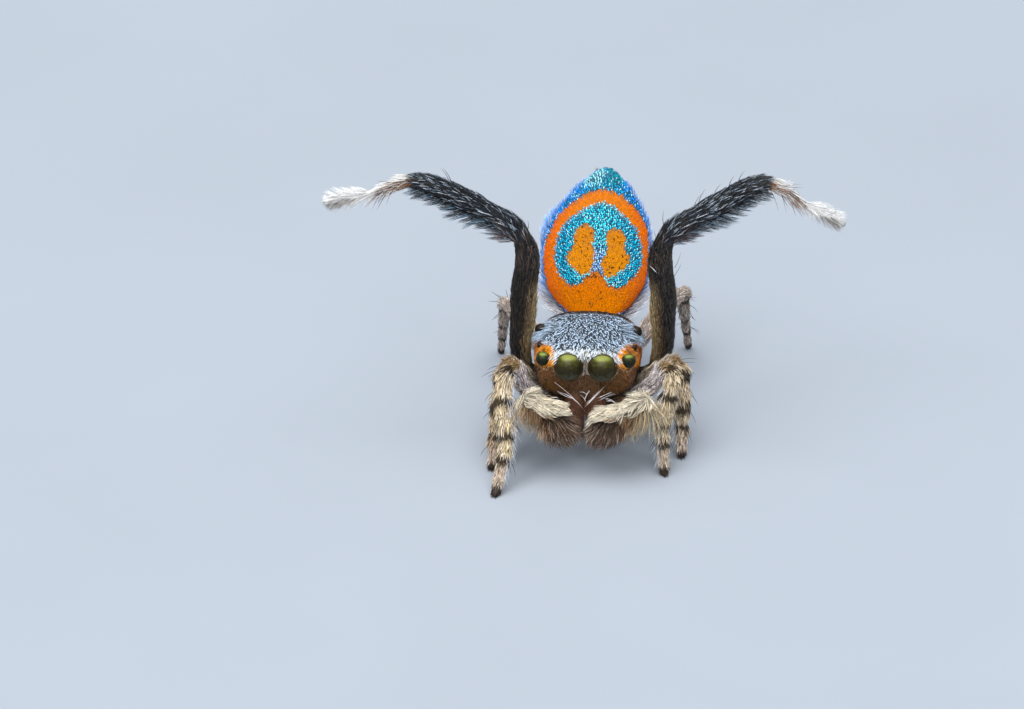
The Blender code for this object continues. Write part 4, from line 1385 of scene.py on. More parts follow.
@dataclass(frozen=True)
class Carapace:
    """The front body: its shell, the silver cap, the orange band round the side eyes, the face."""

    # Distance behind the face, half width, top, widest height and lower edge
    stations: tuple[tuple[float, float, float, float, float], ...] = (
        (0.00, 0.68, 2.02, 1.62, 1.27),
        (0.04, 0.76, 2.07, 1.62, 1.23),
        (0.16, 0.82, 2.11, 1.62, 1.14),
        (0.45, 0.86, 2.13, 1.60, 1.02),
        (0.80, 0.885, 2.14, 1.58, 0.95),
        (1.20, 0.89, 2.13, 1.55, 0.92),
        (1.55, 0.84, 2.03, 1.50, 0.92),
        (1.85, 0.76, 1.84, 1.42, 0.92),
        (2.10, 0.61, 1.60, 1.33, 0.95),
        (2.28, 0.41, 1.40, 1.25, 1.00),
        (2.36, 0.20, 1.28, 1.20, 1.08),
    )
    roundness: float = 2.5

    def form(self) -> Form:
        """Draws the shell's volume, inside its coat."""
        cosine, sine = rounded_ring(48, self.roundness)
        rows = smooth_rows(self.stations, 4)
        rings = []
        for back, half_width, top, middle, low in rows:
            back = min(max(back, COAT_DEPTH), rows[-1, 0] - COAT_DEPTH)
            reach = np.where(sine > 0, top - middle, middle - low) - COAT_DEPTH
            ring = np.column_stack(
                ((half_width - COAT_DEPTH) * cosine, np.full(len(sine), back), middle + reach * sine)
            )
            rings.append(turned(ring))
        halfway = (rows[:, 2] + rows[:, 4]) / 2
        middle_line = np.column_stack((np.zeros(len(rows)), rows[:, 0], halfway, rows[:, 1]))
        middle_line[:, :3] = turned(middle_line[:, :3])
        return Form("carapace", Region.CARAPACE, middle_line, UP, rings)

    def heights(self, back: Array) -> tuple[Array, Array]:
        """Gives the shell's top and lower edge at distances behind the face."""
        table = np.array(self.stations)
        return np.interp(back, table[:, 0], table[:, 2]), np.interp(back, table[:, 0], table[:, 4])

    def zones(self, roots: Roots) -> tuple[Array, Array, Array]:
        """Parts the shell into its coats.

        Args:
            roots: places on the skin.

        Returns:
            How far each place belongs to the silver cap, to the orange band and to the face.
        """
        side, back, height = roots.straight().T
        top, _ = self.heights(back)
        wobble = 0.012 * np.sin(side * 43.0 + back * 31.0) + 0.008 * np.sin(back * 71.0 - side * 23.0)
        outer = ease(0.48, 0.70, np.abs(side)) * ease(0.75, 0.35, back)
        edge = 0.065 + 0.235 * back - 0.10 * outer + wobble
        silver = ease(0.02, -0.02, top - height - edge) * ease(1.44, 1.37, back + wobble)
        lower = 1.88 - 0.40 * back
        band = ease(-0.06, 0.03, height - lower) * ease(0.40, 0.47, np.abs(side))
        band = band * ease(1.35, 1.0, back)
        face = ease(0.45, 0.25, back)
        return silver, band, face

    def tint(self, roots: Roots) -> Array:
        """Colours places on the front body."""
        silver, band, face = self.zones(roots)
        side, back, height = roots.straight().T
        _, low = self.heights(back)
        plain = mix("2e1e12", "64421f", face)
        plain = mix(plain, "784a22", ease(1.50, 1.80, height) * ease(0.5, 0.7, np.abs(side)))
        plain = mix(plain, "54402c", ease(1.45, 1.25, height) * face * 0.7)
        margin = ease(0.16, 0.06, height - low) * (1 - face)
        plain = mix(plain, "cfc4ae", margin * 0.8)
        orange = mix("ffa200", "b86608", ease(0.25, 0.8, back))
        coloured = mix(plain, orange, band)
        cap = mix("c4daf0", "eaf4fd", ease(0.45, 0.05, back))
        return mix(coloured, cap, silver)

    def lie(self, roots: Roots) -> Array:
        """Combs the cap forwards and down over the brow, and the sides back and down."""
        side = roots.straight()[:, 0]
        silver, _, face = self.zones(roots)
        forward = FRONT + 0.45 * LEFT * np.clip(side / 0.8, -1.0, 1.0)[:, None] - 0.25 * UP
        flank = -0.35 * FRONT - 0.9 * UP
        front = -UP * 0.8 + 0.45 * LEFT * np.sign(side)[:, None]
        ways = mix(flank, front, face)
        return turned(mix(ways, forward, silver))

    def dress(self, hide: Hide) -> list[Object]:
        """Grows the cap, the band, the brow and the short hair of flanks and face."""
        made = []
        under = Coat(
            SHORT_BLADE, spacing=0.022, length=0.070, width=0.0135, rise=12.0, settle=4.0,
            way_play=22.0, shade_play=0.3,
        )
        over = Coat(
            HAIR_BLADE, spacing=0.0335, length=0.112, width=0.0165, rise=24.0, settle=9.0,
            length_play=0.25, way_play=21.0, rise_play=7.0, shade_play=0.12, curl=0.2, lock=0.055,
            gather=0.35,
        )
        layers = (("carapace_cap_under", under, 0.04, 30), ("carapace_cap", over, 1.3, 31))
        for name, coat, level, seed in layers:
            roots = hide.roots(["carapace"], coat.spacing, seed)
            silver, _, _ = self.zones(roots)
            roots = roots.kept(silver > 0.5)
            back = roots.straight()[:, 1]
            stretch = 0.75 + 0.25 * ease(0.9, 0.2, back)
            ways, tints = self.lie(roots), self.tint(roots) * level
            made.append(SILVER_HAIR.grow(name, coat, roots, ways, tints, seed + 100, stretch))
        short = Coat(
            SHORT_BLADE, spacing=0.024, length=0.080, width=0.015, rise=18.0, settle=7.0,
            way_play=18.0, shade_play=0.2,
        )
        roots = hide.roots(["carapace"], short.spacing, 33)
        silver, band, face = self.zones(roots)
        chance = chances(34, roots)
        roots = roots.kept((silver <= 0.5) & (chance > 0.35 * face * (1 - band)))
        _, band, face = self.zones(roots)
        tints = self.tint(roots)
        lively = chances(35, roots)
        tints = mix(tints, "1a1008", (lively < 0.10 + 0.16 * face * (1 - band)) * 0.85)
        tints = mix(tints, "a4754a", (lively > 0.84) * face * (1 - band) * 0.8)
        tints = tints * (1 + 0.15 * band)[:, None]
        ways, stretch = self.lie(roots), 0.7 + 0.7 * (1 - face) + 0.3 * band
        made.append(BROWN_HAIR.grow("carapace_band", short, roots, ways, tints, 36, stretch))
        return made + [self.brow(hide), self.lids(hide), self.rings(hide)]

    def brow(self, hide: Hide) -> Object:
        """Grows the white hair along the front edge, which hangs over the big eyes."""
        coat = Coat(
            HAIR_BLADE, spacing=0.021, length=0.165, width=0.0135, rise=24.0, settle=5.0,
            length_play=0.3, way_play=13.0, rise_play=7.0, shade_play=0.12, curl=0.25, lock=0.06,
            gather=0.4,
        )
        roots = hide.roots(["carapace"], coat.spacing, 37)
        side, back, height = roots.straight().T
        top, _ = self.heights(back)
        between = (np.abs(side) < 0.055) & (height > 1.72)
        chosen = (back < 0.20) & (top - height < 0.10) & (np.abs(side) < 0.60) | (back < 0.1) & between
        roots, between = roots.kept(chosen), between[chosen]
        tints = mix("eef3f8", "cdbfa8", between * 0.7)
        stretch = np.where(between, 0.6, 1.0)
        return SILVER_HAIR.grow("brow", coat, roots, self.lie(roots), tints, 38, stretch)

    def lids(self, hide: Hide) -> Object:
        """Grows the silver hair that half hides the rear eyes from the inner side."""
        coat = Coat(
            HAIR_BLADE, spacing=0.020, length=0.205, width=0.0140, rise=54.0, settle=10.0,
            length_play=0.25, way_play=20.0, rise_play=8.0, shade_play=0.25, curl=0.2,
        )
        roots = hide.roots(["carapace"], coat.spacing, 39)
        places = roots.straight()
        near = np.zeros(len(roots), bool)
        for kind, reach in (("posterior_lateral", 0.24), ("posterior_median", 0.14)):
            across, back, height, _ = Eyes.spots[kind]
            away = np.hypot(np.abs(places[:, 0]) - across + 0.05, places[:, 1] - back + 0.05)
            near |= (away < reach) & (np.abs(places[:, 0]) < across + 0.03)
        # The loop ends with the small eyes, which hair hides from below too
        small = (away < reach) & (np.abs(places[:, 2] - height) < 0.13)
        silver, _, _ = self.zones(roots)
        chosen = near & (silver > 0.2) | small
        roots, small = roots.kept(chosen), small[chosen]
        ways = np.sign(roots.points[:, 0])[:, None] * LEFT + 0.15 * FRONT + 0.2 * UP
        dark = chances(48, roots) < 0.25
        tints = mix(self.tint(roots), "3a4450", dark * 0.85)
        stretch = np.where(small, 0.55, 1.0)
        return SILVER_HAIR.grow("rear_eye_lids", coat, roots, ways, tints, 40, stretch)

    def rings(self, hide: Hide) -> Object:
        """Grows the thin ring of tan hair round each front eye."""
        coat = Coat(
            SHORT_BLADE, spacing=0.0115, length=0.034, width=0.0085, rise=26.0, settle=10.0,
            length_play=0.3, way_play=25.0,
        )
        roots = hide.roots(["carapace"], coat.spacing, 45)
        places = roots.straight()
        chosen, ways = np.zeros(len(roots), bool), np.tile(-UP, (len(roots), 1))
        for kind in ("anterior_median", "anterior_lateral"):
            across, back, height, radius = Eyes.spots[kind]
            away = np.column_stack((np.abs(places[:, 0]) - across, places[:, 2] - height))
            distance = np.linalg.norm(away, axis=1)
            ring = (places[:, 1] < back + 0.10) & (distance > radius - 0.02) & (distance < radius + 0.026)
            chosen |= ring
            ways[ring] = (away[:, :1] * np.sign(places[:, :1]) * LEFT + away[:, 1:] * UP)[ring]
        silver, band, _ = self.zones(roots)
        chosen &= silver < 0.5
        roots, band = roots.kept(chosen), band[chosen]
        tints = mix("cfae88", "f6ae3a", band)
        return CREAM_HAIR.grow("eye_ring_hair", coat, roots, turned(ways[chosen]), tints, 46)


@dataclass(frozen=True)
class Eyes:
    """The eight eyes, each in its rim, as far apart and as deep as in life."""

    spots = {
        "anterior_median": (0.277, 0.00, 1.85, 0.235),
        "anterior_lateral": (0.700, 0.13, 1.91, 0.122),
        "posterior_median": (0.775, 0.55, 1.92, 0.050),
        "posterior_lateral": (0.785, 1.02, 1.95, 0.100),
    }
    # Where each eye looks: to the side, to the front and up
    looks = {
        "anterior_median": (0.06, 1.0, 0.02),
        "anterior_lateral": (0.45, 1.0, 0.05),
        "posterior_median": (1.0, 0.1, 0.5),
        "posterior_lateral": (1.0, -0.35, 0.45),
    }
    # Width of the rim and how far it stands before the eye's middle, as shares of the radius
    rim_width: float = 0.05
    rim_out: float = 0.05
    # The painted highlight, a soft overhead lamp's reflection: its direction, its height along it, and half
    # its width and height
    highlight_way: Spot = (0.0, 0.5, 0.866)
    highlight_height: float = 0.64
    dome_size: tuple[float, float] = (0.60, 0.28)

    def ball(self, name: str, centre: Array, radius: float) -> Object:
        """Turns a fine ball for one eye, with its height on the ball and its painted highlight kept for its
        colours.
        """
        shell = bmesh.new()
        bmesh.ops.create_uvsphere(shell, u_segments=48, v_segments=32, radius=radius)
        bmesh.ops.rotate(shell, verts=shell.verts, matrix=Matrix.Rotation(math.radians(90.0), 3, "X"))
        mesh = mesh_of(name, shell)
        points = np.array([vert.co[:] for vert in mesh.vertices])
        height = (points[:, 2] / radius + 1) / 2
        # The painted highlight is an oval under the lens's top, where an overhead lamp's reflection would
        # lie
        above = points @ unit(np.array(self.highlight_way)) / radius
        half_width, half_height = self.dome_size
        off_middle = np.hypot(points[:, 0] / radius / half_width, (above - self.highlight_height) / half_height)
        off_middle += 0.10 * np.sin(points[:, 0] / radius * 7.0 + 1.0)
        dome = ease(1.2, 0.45, off_middle) * (points[:, 1] < 0.3 * radius)
        for layer, values in (("height", height), ("dome", dome)):
            mesh.attributes.new(layer, "FLOAT", "POINT").data.foreach_set("value", values.astype(np.float32))
        set_points(mesh, points + centre)
        mesh.shade_smooth()
        return placed(name, mesh)

    def rim(self, shell: BMesh, centre: Array, radius: float, look: Array) -> None:
        """Spins a rounded rim round an eye.

        Args:
            shell: mesh that the rim is added to.
            centre: middle of the eye.
            radius: the eye's radius.
            look: direction that the eye faces.
        """
        width = radius * self.rim_width
        turn = Vector(look).to_track_quat("Z", "Y").to_matrix().to_4x4()
        frame = Matrix.Translation(centre + look * radius * self.rim_out) @ turn
        upright = Matrix.Rotation(math.radians(90.0), 4, "X")
        section = frame @ Matrix.Translation((radius, 0.0, 0.0)) @ upright
        made = bmesh.ops.create_circle(shell, cap_ends=False, radius=width, segments=8, matrix=section)
        edges = list({edge for vert in made["verts"] for edge in vert.link_edges})
        bmesh.ops.spin(
            shell,
            geom=[*made["verts"], *edges],
            cent=frame.translation,
            axis=look,
            angle=math.tau,
            steps=40,
            use_merge=True,
        )

    def build(self) -> list[Object]:
        """Makes the eight eyes and their rims."""
        finishes = {
            "anterior_median": LENSES.material(),
            "anterior_lateral": SIDE_LENSES.material(),
            "posterior_median": REAR_LENSES.material(),
        }
        finishes["posterior_lateral"] = finishes["posterior_median"]
        rims = bmesh.new()
        made = []
        for kind, (across, back, height, radius) in self.spots.items():
            for side, word in SIDES:
                node = f"eye_{kind}_{word}"
                centre = turned((side * across, back, height))
                thing = self.ball(node + "_lens", centre, radius)
                dressed(thing, finishes[kind])
                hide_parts(node)
                made.append(thing)
                out, front, up = self.looks[kind]
                look = unit(turned((side * out, -front, up)))
                self.rim(rims, centre, radius, look)
        bmesh.ops.remove_doubles(rims, verts=rims.verts, dist=1e-6)
        bmesh.ops.recalc_face_normals(rims, faces=rims.faces)
        mesh = mesh_of("eye_rims", rims)
        set_points(mesh, [vert.co[:] for vert in mesh.vertices])
        mesh.shade_smooth()
        made.append(dressed(placed("eye_rims", mesh), HornFinish().material()))
        log.info("eyes: %d pieces", len(made))
        return made


@dataclass(frozen=True)
class Jaws:
    """The two chelicerae under the face, with a seam between them."""

    points: tuple[Ball, ...] = (
        (0.160, 0.20, 1.40, 0.150),
        (0.185, 0.14, 1.16, 0.175),
        (0.175, 0.08, 0.90, 0.165),
        (0.125, 0.05, 0.68, 0.115),
        (0.062, 0.06, 0.52, 0.050),
    )

    def forms(self) -> list[Form]:
        """Draws both jaws."""
        made = []
        for side, word in SIDES:
            line = smooth_line([(*turned((side * x, y, z)), r - 0.008) for x, y, z, r in self.points])
            made.append(Form("jaw_" + word, Region.JAW, line, FRONT, tube_rings(line, FRONT)))
        return made

    def tint(self, roots: Roots) -> Array:
        """Colours places on the jaws, darker towards their ends."""
        return mix("6a4632", "5e483c", ease(0.3, 0.9, roots.share))

    def dress(self, hide: Hide) -> list[Object]:
        """Grows the sparse brown hair of the jaws."""
        coat = Coat(
            SHORT_BLADE, spacing=0.030, length=0.085, width=0.011, rise=18.0, settle=8.0,
            shade_play=0.3,
        )
        roots = hide.roots(["jaw_left", "jaw_right"], coat.spacing, 41)
        roots = roots.kept(roots.points[:, 1] < 0.12)
        tints = self.tint(roots) * 1.6
        return [BROWN_HAIR.grow("jaw_hair", coat, roots, roots.along, tints, 42)]


@dataclass(frozen=True)
class Palps:
    """The pedipalps: cream tufts that sweep to the jaws, and the brown fuzzy tips below them."""

    # Root, femur and patella, with the radius at each
    stalk = ((0.20, 0.46, 1.00, 0.090), (0.50, 0.24, 1.06, 0.100), (0.80, -0.06, 1.20, 0.120))
    # The bend, shin and end of each tuft, which the animal holds a little differently
    ends = {
        "left": (
            (0.97, -0.30, 1.37, 0.150),
            (0.60, -0.45, 1.29, 0.135),
            (0.32, -0.52, 1.24, 0.120),
            (0.10, -0.54, 1.11, 0.040),
        ),
        "right": (
            (0.94, -0.35, 1.39, 0.145),
            (0.64, -0.45, 1.33, 0.135),
            (0.42, -0.49, 1.30, 0.120),
            (0.21, -0.53, 1.25, 0.050),
        ),
    }
    tip_centres = {"left": (0.40, -0.40, 0.94), "right": (0.46, -0.40, 0.94)}
    # Distance from the middle at which the hair of the left and of the right palp ends
    inner_ends: tuple[float, float] = (0.03, 0.215)
    tip_radii: Spot = (0.32, 0.16, 0.25)
    tip_tilt: float = math.radians(22.0)

    def forms(self) -> list[Form]:
        """Draws both palps and both tips."""
        made = []
        for side, word in SIDES:
            points = self.stalk + self.ends[word]
            line = smooth_line([(*turned((side * x, y, z)), r * CORE_SHARE) for x, y, z, r in points])
            made.append(Form("palp_" + word, Region.PALP, line, UP, tube_rings(line, UP)))
            made.append(self.tip(side, word))
        return made

    def tip(self, side: int, word: str) -> Form:
        """Draws one palp's tip, a flattened egg that tilts inwards."""
        out, back, height = self.tip_centres[word]
        centre = turned((side * out, back, height))
        across, deep, tall = (radius - COAT_DEPTH for radius in self.tip_radii)
        slant = -side * self.tip_tilt
        wide = np.array((math.cos(slant), 0.0, -math.sin(slant)))
        high = np.array((math.sin(slant), 0.0, math.cos(slant)))
        angles = math.tau * np.arange(24) / 24
        rings = []
        for turn in np.radians(np.linspace(-86.0, 86.0, 16)):
            beside = np.cos(angles)[:, None] * wide * across
            ring = (beside + np.sin(angles)[:, None] * FRONT * deep) * math.cos(turn)
            rings.append(centre + ring - high * tall * math.sin(turn))
        ends = [(*(centre + high * tall), across), (*(centre - high * tall), across)]
        return Form("palp_tip_" + word, Region.PALP_TIP, smooth_line(ends), FRONT, rings)

    def tint(self, roots: Roots) -> Array:
        """Colours places on the palps: cream, brown at the root, and tan underneath, partly painted shade
        and partly the real orange-brown of the lower strands.
        """
        # The tan on the underside is partly painted shade, partly the lower strands' real orange-brown
        cream = mix("f1e6cf", "b07c44", ease(0.05, 0.55, -roots.normals[:, 2]) * 0.8)
        return mix(cream, "8d7458", ease(0.42, 0.30, roots.share))

    def tip_tint(self, roots: Roots) -> Array:
        """Colours places on the tips: dark brown, orange-brown under the tuft, tan outside."""
        side = np.abs(roots.straight()[:, 0])
        brown = mix("66503f", "5c4c44", ease(0.3, 0.9, roots.share))
        spot = ease(0.16, 0.04, np.hypot(side - 0.70, roots.points[:, 2] - 1.08))
        brown = mix(brown, "9a6028", spot * 0.6)
        return mix(brown, "b8a488", ease(0.62, 0.74, side) * 0.9)

    def dress(self, hide: Hide) -> list[Object]:
        """Grows the cream tufts, the skirts under them and the brown fuzz of the tips."""
        return [self.tufts(hide), self.skirts(hide), self.fuzz(hide)]

    def tufts(self, hide: Hide) -> Object:
        """Grows the cream hair, which drapes over the outer bend and sweeps to the jaws."""
        coat = Coat(
            LONG_BLADE, spacing=0.0205, length=0.29, width=0.0120, rise=24.0, settle=9.0,
            length_play=0.35, way_play=12.0, rise_play=8.0, shade_play=0.24, curl=0.4, lock=0.095,
            gather=0.72,
        )
        roots = hide.roots(["palp_left", "palp_right"], coat.spacing, 51)
        side = np.sign(roots.points[:, 0])[:, None]
        drape = unit(-0.80 * side * LEFT - 0.50 * UP + 0.30 * FRONT)
        bend = ease(0.44, 0.52, roots.share) * ease(0.78, 0.66, roots.share)
        ways = roots.along - UP * 0.20 * ease(0.5, 0.7, roots.share)[:, None]
        ways = ways * (1 - bend)[:, None] + drape * bend[:, None]
        # No hair of the sweep reaches past the place where it ends in life
        ends = np.where(side[:, 0] > 0, *self.inner_ends)
        # The sweep narrows to its point, as hair from its lower side ends first
        chance = chances(58, roots)
        ends = ends - 0.02 + 0.20 * ease(0.5, -0.5, roots.normals[:, 2]) + 0.09 * chance**2
        room = (np.abs(roots.straight()[:, 0]) - ends) / np.maximum(-(unit(ways) @ LEFT) * side[:, 0], 0.2)
        nominal = np.interp(roots.share, (0.0, 0.35, 0.5, 0.7, 1.0), (0.35, 0.5, 0.95, 1.2, 0.95))
        high = 0.70 + 0.30 * ease(-0.4, 0.6, roots.normals[:, 2])
        stretch = np.clip(np.minimum(nominal, room / coat.length) * high, 0.2, None)
        return CREAM_HAIR.grow("palp_tufts", coat, roots, ways, self.tint(roots), 52, stretch)

    def skirts(self, hide: Hide) -> Object:
        """Grows the long tan hair that hangs from the outer half of each palp."""
        coat = Coat(
            LONG_BLADE, spacing=0.0205, length=0.60, width=0.0120, rise=62.0, settle=12.0,
            length_play=0.25, way_play=12.0, rise_play=8.0, shade_play=0.2, curl=0.2, lock=0.09,
            gather=0.3,
        )
        roots = hide.roots(["palp_left", "palp_right"], coat.spacing, 56)
        below = roots.normals[:, 2] < 0.30
        roots = roots.kept(below & (roots.share > 0.36) & (roots.share < 0.74))
        side = np.sign(roots.points[:, 0])[:, None]
        inner = ease(0.55, 0.68, roots.share)
        tints = mix("d8c4a0", "8c6e50", inner)
        ways = -UP - 0.12 * side * LEFT + 0.15 * FRONT
        return CREAM_HAIR.grow("palp_skirts", coat, roots, ways, tints, 57, 1 - 0.4 * inner)

    def fuzz(self, hide: Hide) -> Object:
        """Grows the brown hair of the tips, fanned down and inwards."""
        coat = Coat(
            LONG_BLADE, spacing=0.0215, length=0.28, width=0.0110, rise=28.0, settle=10.0,
            length_play=0.3, way_play=14.0, rise_play=7.0, shade_play=0.25, curl=0.2, lock=0.06,
            gather=0.4,
        )
        roots = hide.roots(["palp_tip_left", "palp_tip_right"], coat.spacing, 53)
        side = np.sign(roots.points[:, 0])
        middles = np.where(side > 0, self.tip_centres["left"][0], self.tip_centres["right"][0])
        reach = roots.straight()[:, 0] * side - middles
        ways = -UP + (-side * 0.50 + side * reach * 1.3)[:, None] * LEFT + 0.1 * FRONT
        tints = self.tip_tint(roots)
        chance = chances(54, roots)
        tints = mix(tints, "a89888", (chance < 0.25) * 0.7)
        tints = mix(tints, "241a14", (chance > 0.80) * 0.7)
        return GRIZZLED_HAIR.grow("palp_fuzz", coat, roots, ways, tints, 55)


@dataclass(frozen=True)
class Trunk:
    """What joins the parts below and behind: sternum, pedicel and spinnerets."""

    sternum_centre: Spot = (0.0, 1.22, 1.10)
    sternum_radii: Spot = (0.44, 0.88, 0.30)
    pedicel: tuple[Ball, ...] = (
        (0.04, 2.10, 1.22, 0.10),
        (0.06, 2.40, 1.18, 0.10),
        (0.09, 2.80, 1.16, 0.11),
    )
    spinneret_station: float = 2.34
    spinneret_depth: float = 0.38
    spinneret_lean: float = 0.55
    finger_reach: tuple[float, float] = (0.06, 0.33)
    finger_radii: tuple[float, float] = (0.052, 0.030)
    finger_spread: tuple[float, float] = (0.045, 0.072)

    def forms(self, abdomen: Abdomen) -> list[Form]:
        """Draws the sternum, the pedicel and the four fingers of the spinnerets."""
        side, back, height = self.sternum_centre
        wide, long, deep = (radius - COAT_DEPTH / 2 for radius in self.sternum_radii)
        angles = math.tau * np.arange(28) / 28
        rings = []
        for turn in np.radians(np.linspace(-84.0, 84.0, 18)):
            share = math.cos(turn)
            ring = np.column_stack((
                side + wide * share * np.cos(angles),
                np.full(len(angles), back + long * math.sin(turn)),
                height + deep * share * np.sin(angles),
            ))
            rings.append(turned(ring))
        ends = [(*turned((side, back + long * sign, height)), wide) for sign in (-1, 1)]
        made = [Form("sternum", Region.STERNUM, smooth_line(ends), -UP, rings)]
        line = smooth_line(self.pedicel)
        made.append(Form("pedicel", Region.PEDICEL, line, UP, tube_rings(line, UP)))
        rise, front = abdomen.axes()
        root = abdomen.centres(np.array([self.spinneret_station]))[0] - front * self.spinneret_depth
        away = unit(rise - front * self.spinneret_lean)
        across = np.cross(LEFT, away)
        for number, (column, row) in enumerate(((-1, -1), (-1, 1), (1, -1), (1, 1))):
            beside = LEFT * column + across * row
            ends = zip(self.finger_reach, self.finger_spread, self.finger_radii)
            marks = [(*(root + away * far + beside * spread), radius) for far, spread, radius in ends]
            line = smooth_line(marks)
            made.append(Form(f"spinneret_{number}", Region.SPINNERETS, line, UP, tube_rings(line, LEFT)))
        return made

    def tint(self, roots: Roots) -> Array:
        """Colours places on the sternum, pedicel and spinnerets."""
        return linear("7a6a58")

    def dress(self, hide: Hide) -> list[Object]:
        """Grows the pale hair of the sternum and spinnerets."""
        coat = Coat(
            SHORT_BLADE, spacing=0.036, length=0.11, width=0.016, rise=16.0, settle=6.0,
            shade_play=0.25,
        )
        names = ["sternum", "pedicel", *(f"spinneret_{number}" for number in range(4))]
        roots = hide.roots(names, coat.spacing, 61)
        tints = self.tint(roots) * 1.5
        return [CREAM_HAIR.grow("trunk_hair", coat, roots, roots.along, tints, 62)]


class Stance(Enum):
    """What a leg does, which sets its thickness and its coat."""

    WALKING = "walking"
    HIND = "hind"
    RAISED = "raised"


@dataclass(frozen=True)
class Leg:
    """One leg: its joints, how its parts bow, and the dark bands of its coat.

    A place on a leg is a number: 0 to 1 on the femur, 1 to 2 from knee to ankle and 2 to 3 on
    the foot. bands are pairs of such a place and half the band's width.
    """

    name: str
    stance: Stance
    root: Spot
    trochanter: Spot
    knee: Spot
    ankle: Spot
    foot: Spot
    bows: tuple[Spot, ...]
    bands: tuple[tuple[float, float], ...] = ()

    @property
    def side(self) -> int:
        """Gives 1 for a left leg and -1 for a right one."""
        return 1 if self.knee[0] > 0 else -1


LEGS = (
    Leg(
        "leg_1_left", Stance.WALKING, (0.28, 0.62, 0.95), (0.70, 0.50, 0.97), (1.37, 0.22, 1.65),
        (1.27, -0.12, 0.76), (1.30, -0.36, 0.0),
        ((0.02, -0.06, -0.02), (0.03, -0.08, 0.02), (0.0, -0.03, 0.0)),
        ((1.10, 0.04), (1.46, 0.055), (1.97, 0.045), (2.39, 0.06)),
    ),
    Leg(
        "leg_1_right", Stance.WALKING, (-0.28, 0.64, 0.95), (-0.68, 0.50, 0.97), (-1.21, 0.22, 1.69),
        (-1.29, -0.58, 0.80), (-1.48, -1.03, 0.0),
        ((-0.05, -0.06, -0.02), (-0.10, -0.02, 0.04), (0.0, -0.03, 0.0)),
        ((1.12, 0.04), (1.52, 0.05), (1.98, 0.05), (2.40, 0.06)),
    ),
    Leg(
        "leg_2_left", Stance.WALKING, (0.30, 1.00, 0.94), (0.82, 0.93, 0.96), (1.52, 0.72, 1.46),
        (1.59, 0.40, 0.58), (1.59, 0.20, 0.0),
        ((0.0, 0.0, 0.06), (0.03, -0.04, 0.02), (0.0, -0.02, 0.0)),
        ((1.26, 0.07), (1.77, 0.08), (2.18, 0.08)),
    ),
    Leg(
        "leg_2_right", Stance.WALKING, (-0.30, 1.02, 0.94), (-0.76, 0.93, 0.96), (-1.30, 0.66, 1.46),
        (-1.47, 0.09, 0.55), (-1.54, -0.18, 0.0),
        ((0.0, 0.0, 0.06), (-0.01, -0.03, 0.05), (0.0, -0.02, 0.0)),
        ((1.30, 0.06), (1.69, 0.07), (2.14, 0.08)),
    ),
    Leg(
        "leg_3_left", Stance.RAISED, (0.28, 1.38, 0.94), (1.14, 1.32, 1.05), (1.30, 1.14, 3.57),
        (2.98, 1.16, 4.65), (4.22, 1.10, 3.95), ((0.07, 0.0, 0.0), (0.0, 0.0, 0.13), (0.0, 0.0, -0.03)),
    ),
    Leg(
        "leg_3_right", Stance.RAISED, (-0.26, 1.40, 0.94), (-0.95, 1.38, 1.04), (-1.03, 1.14, 3.61),
        (-2.84, 1.16, 4.70), (-4.26, 1.11, 4.34), ((-0.03, 0.02, 0.0), (0.0, 0.0, 0.17), (0.0, 0.0, -0.04)),
    ),
    Leg(
        "leg_4_left", Stance.HIND, (0.28, 1.74, 0.96), (0.72, 1.95, 0.97), (1.63, 2.98, 1.56),
        (1.70, 3.52, 0.72), (1.77, 3.84, 0.0),
        ((0.0, 0.0, 0.08), (0.0, 0.04, 0.0), (0.0, 0.02, 0.0)),
        ((1.30, 0.06), (1.95, 0.06), (2.45, 0.07)),
    ),
    Leg(
        "leg_4_right", Stance.HIND, (-0.24, 1.78, 0.96), (-0.62, 1.98, 0.97), (-1.30, 2.88, 1.42),
        (-1.35, 3.38, 0.68), (-1.39, 3.68, 0.0),
        ((0.0, 0.0, 0.08), (0.0, 0.04, 0.0), (0.0, 0.02, 0.0)),
        ((1.30, 0.06), (1.95, 0.06), (2.45, 0.07)),
    ),
)


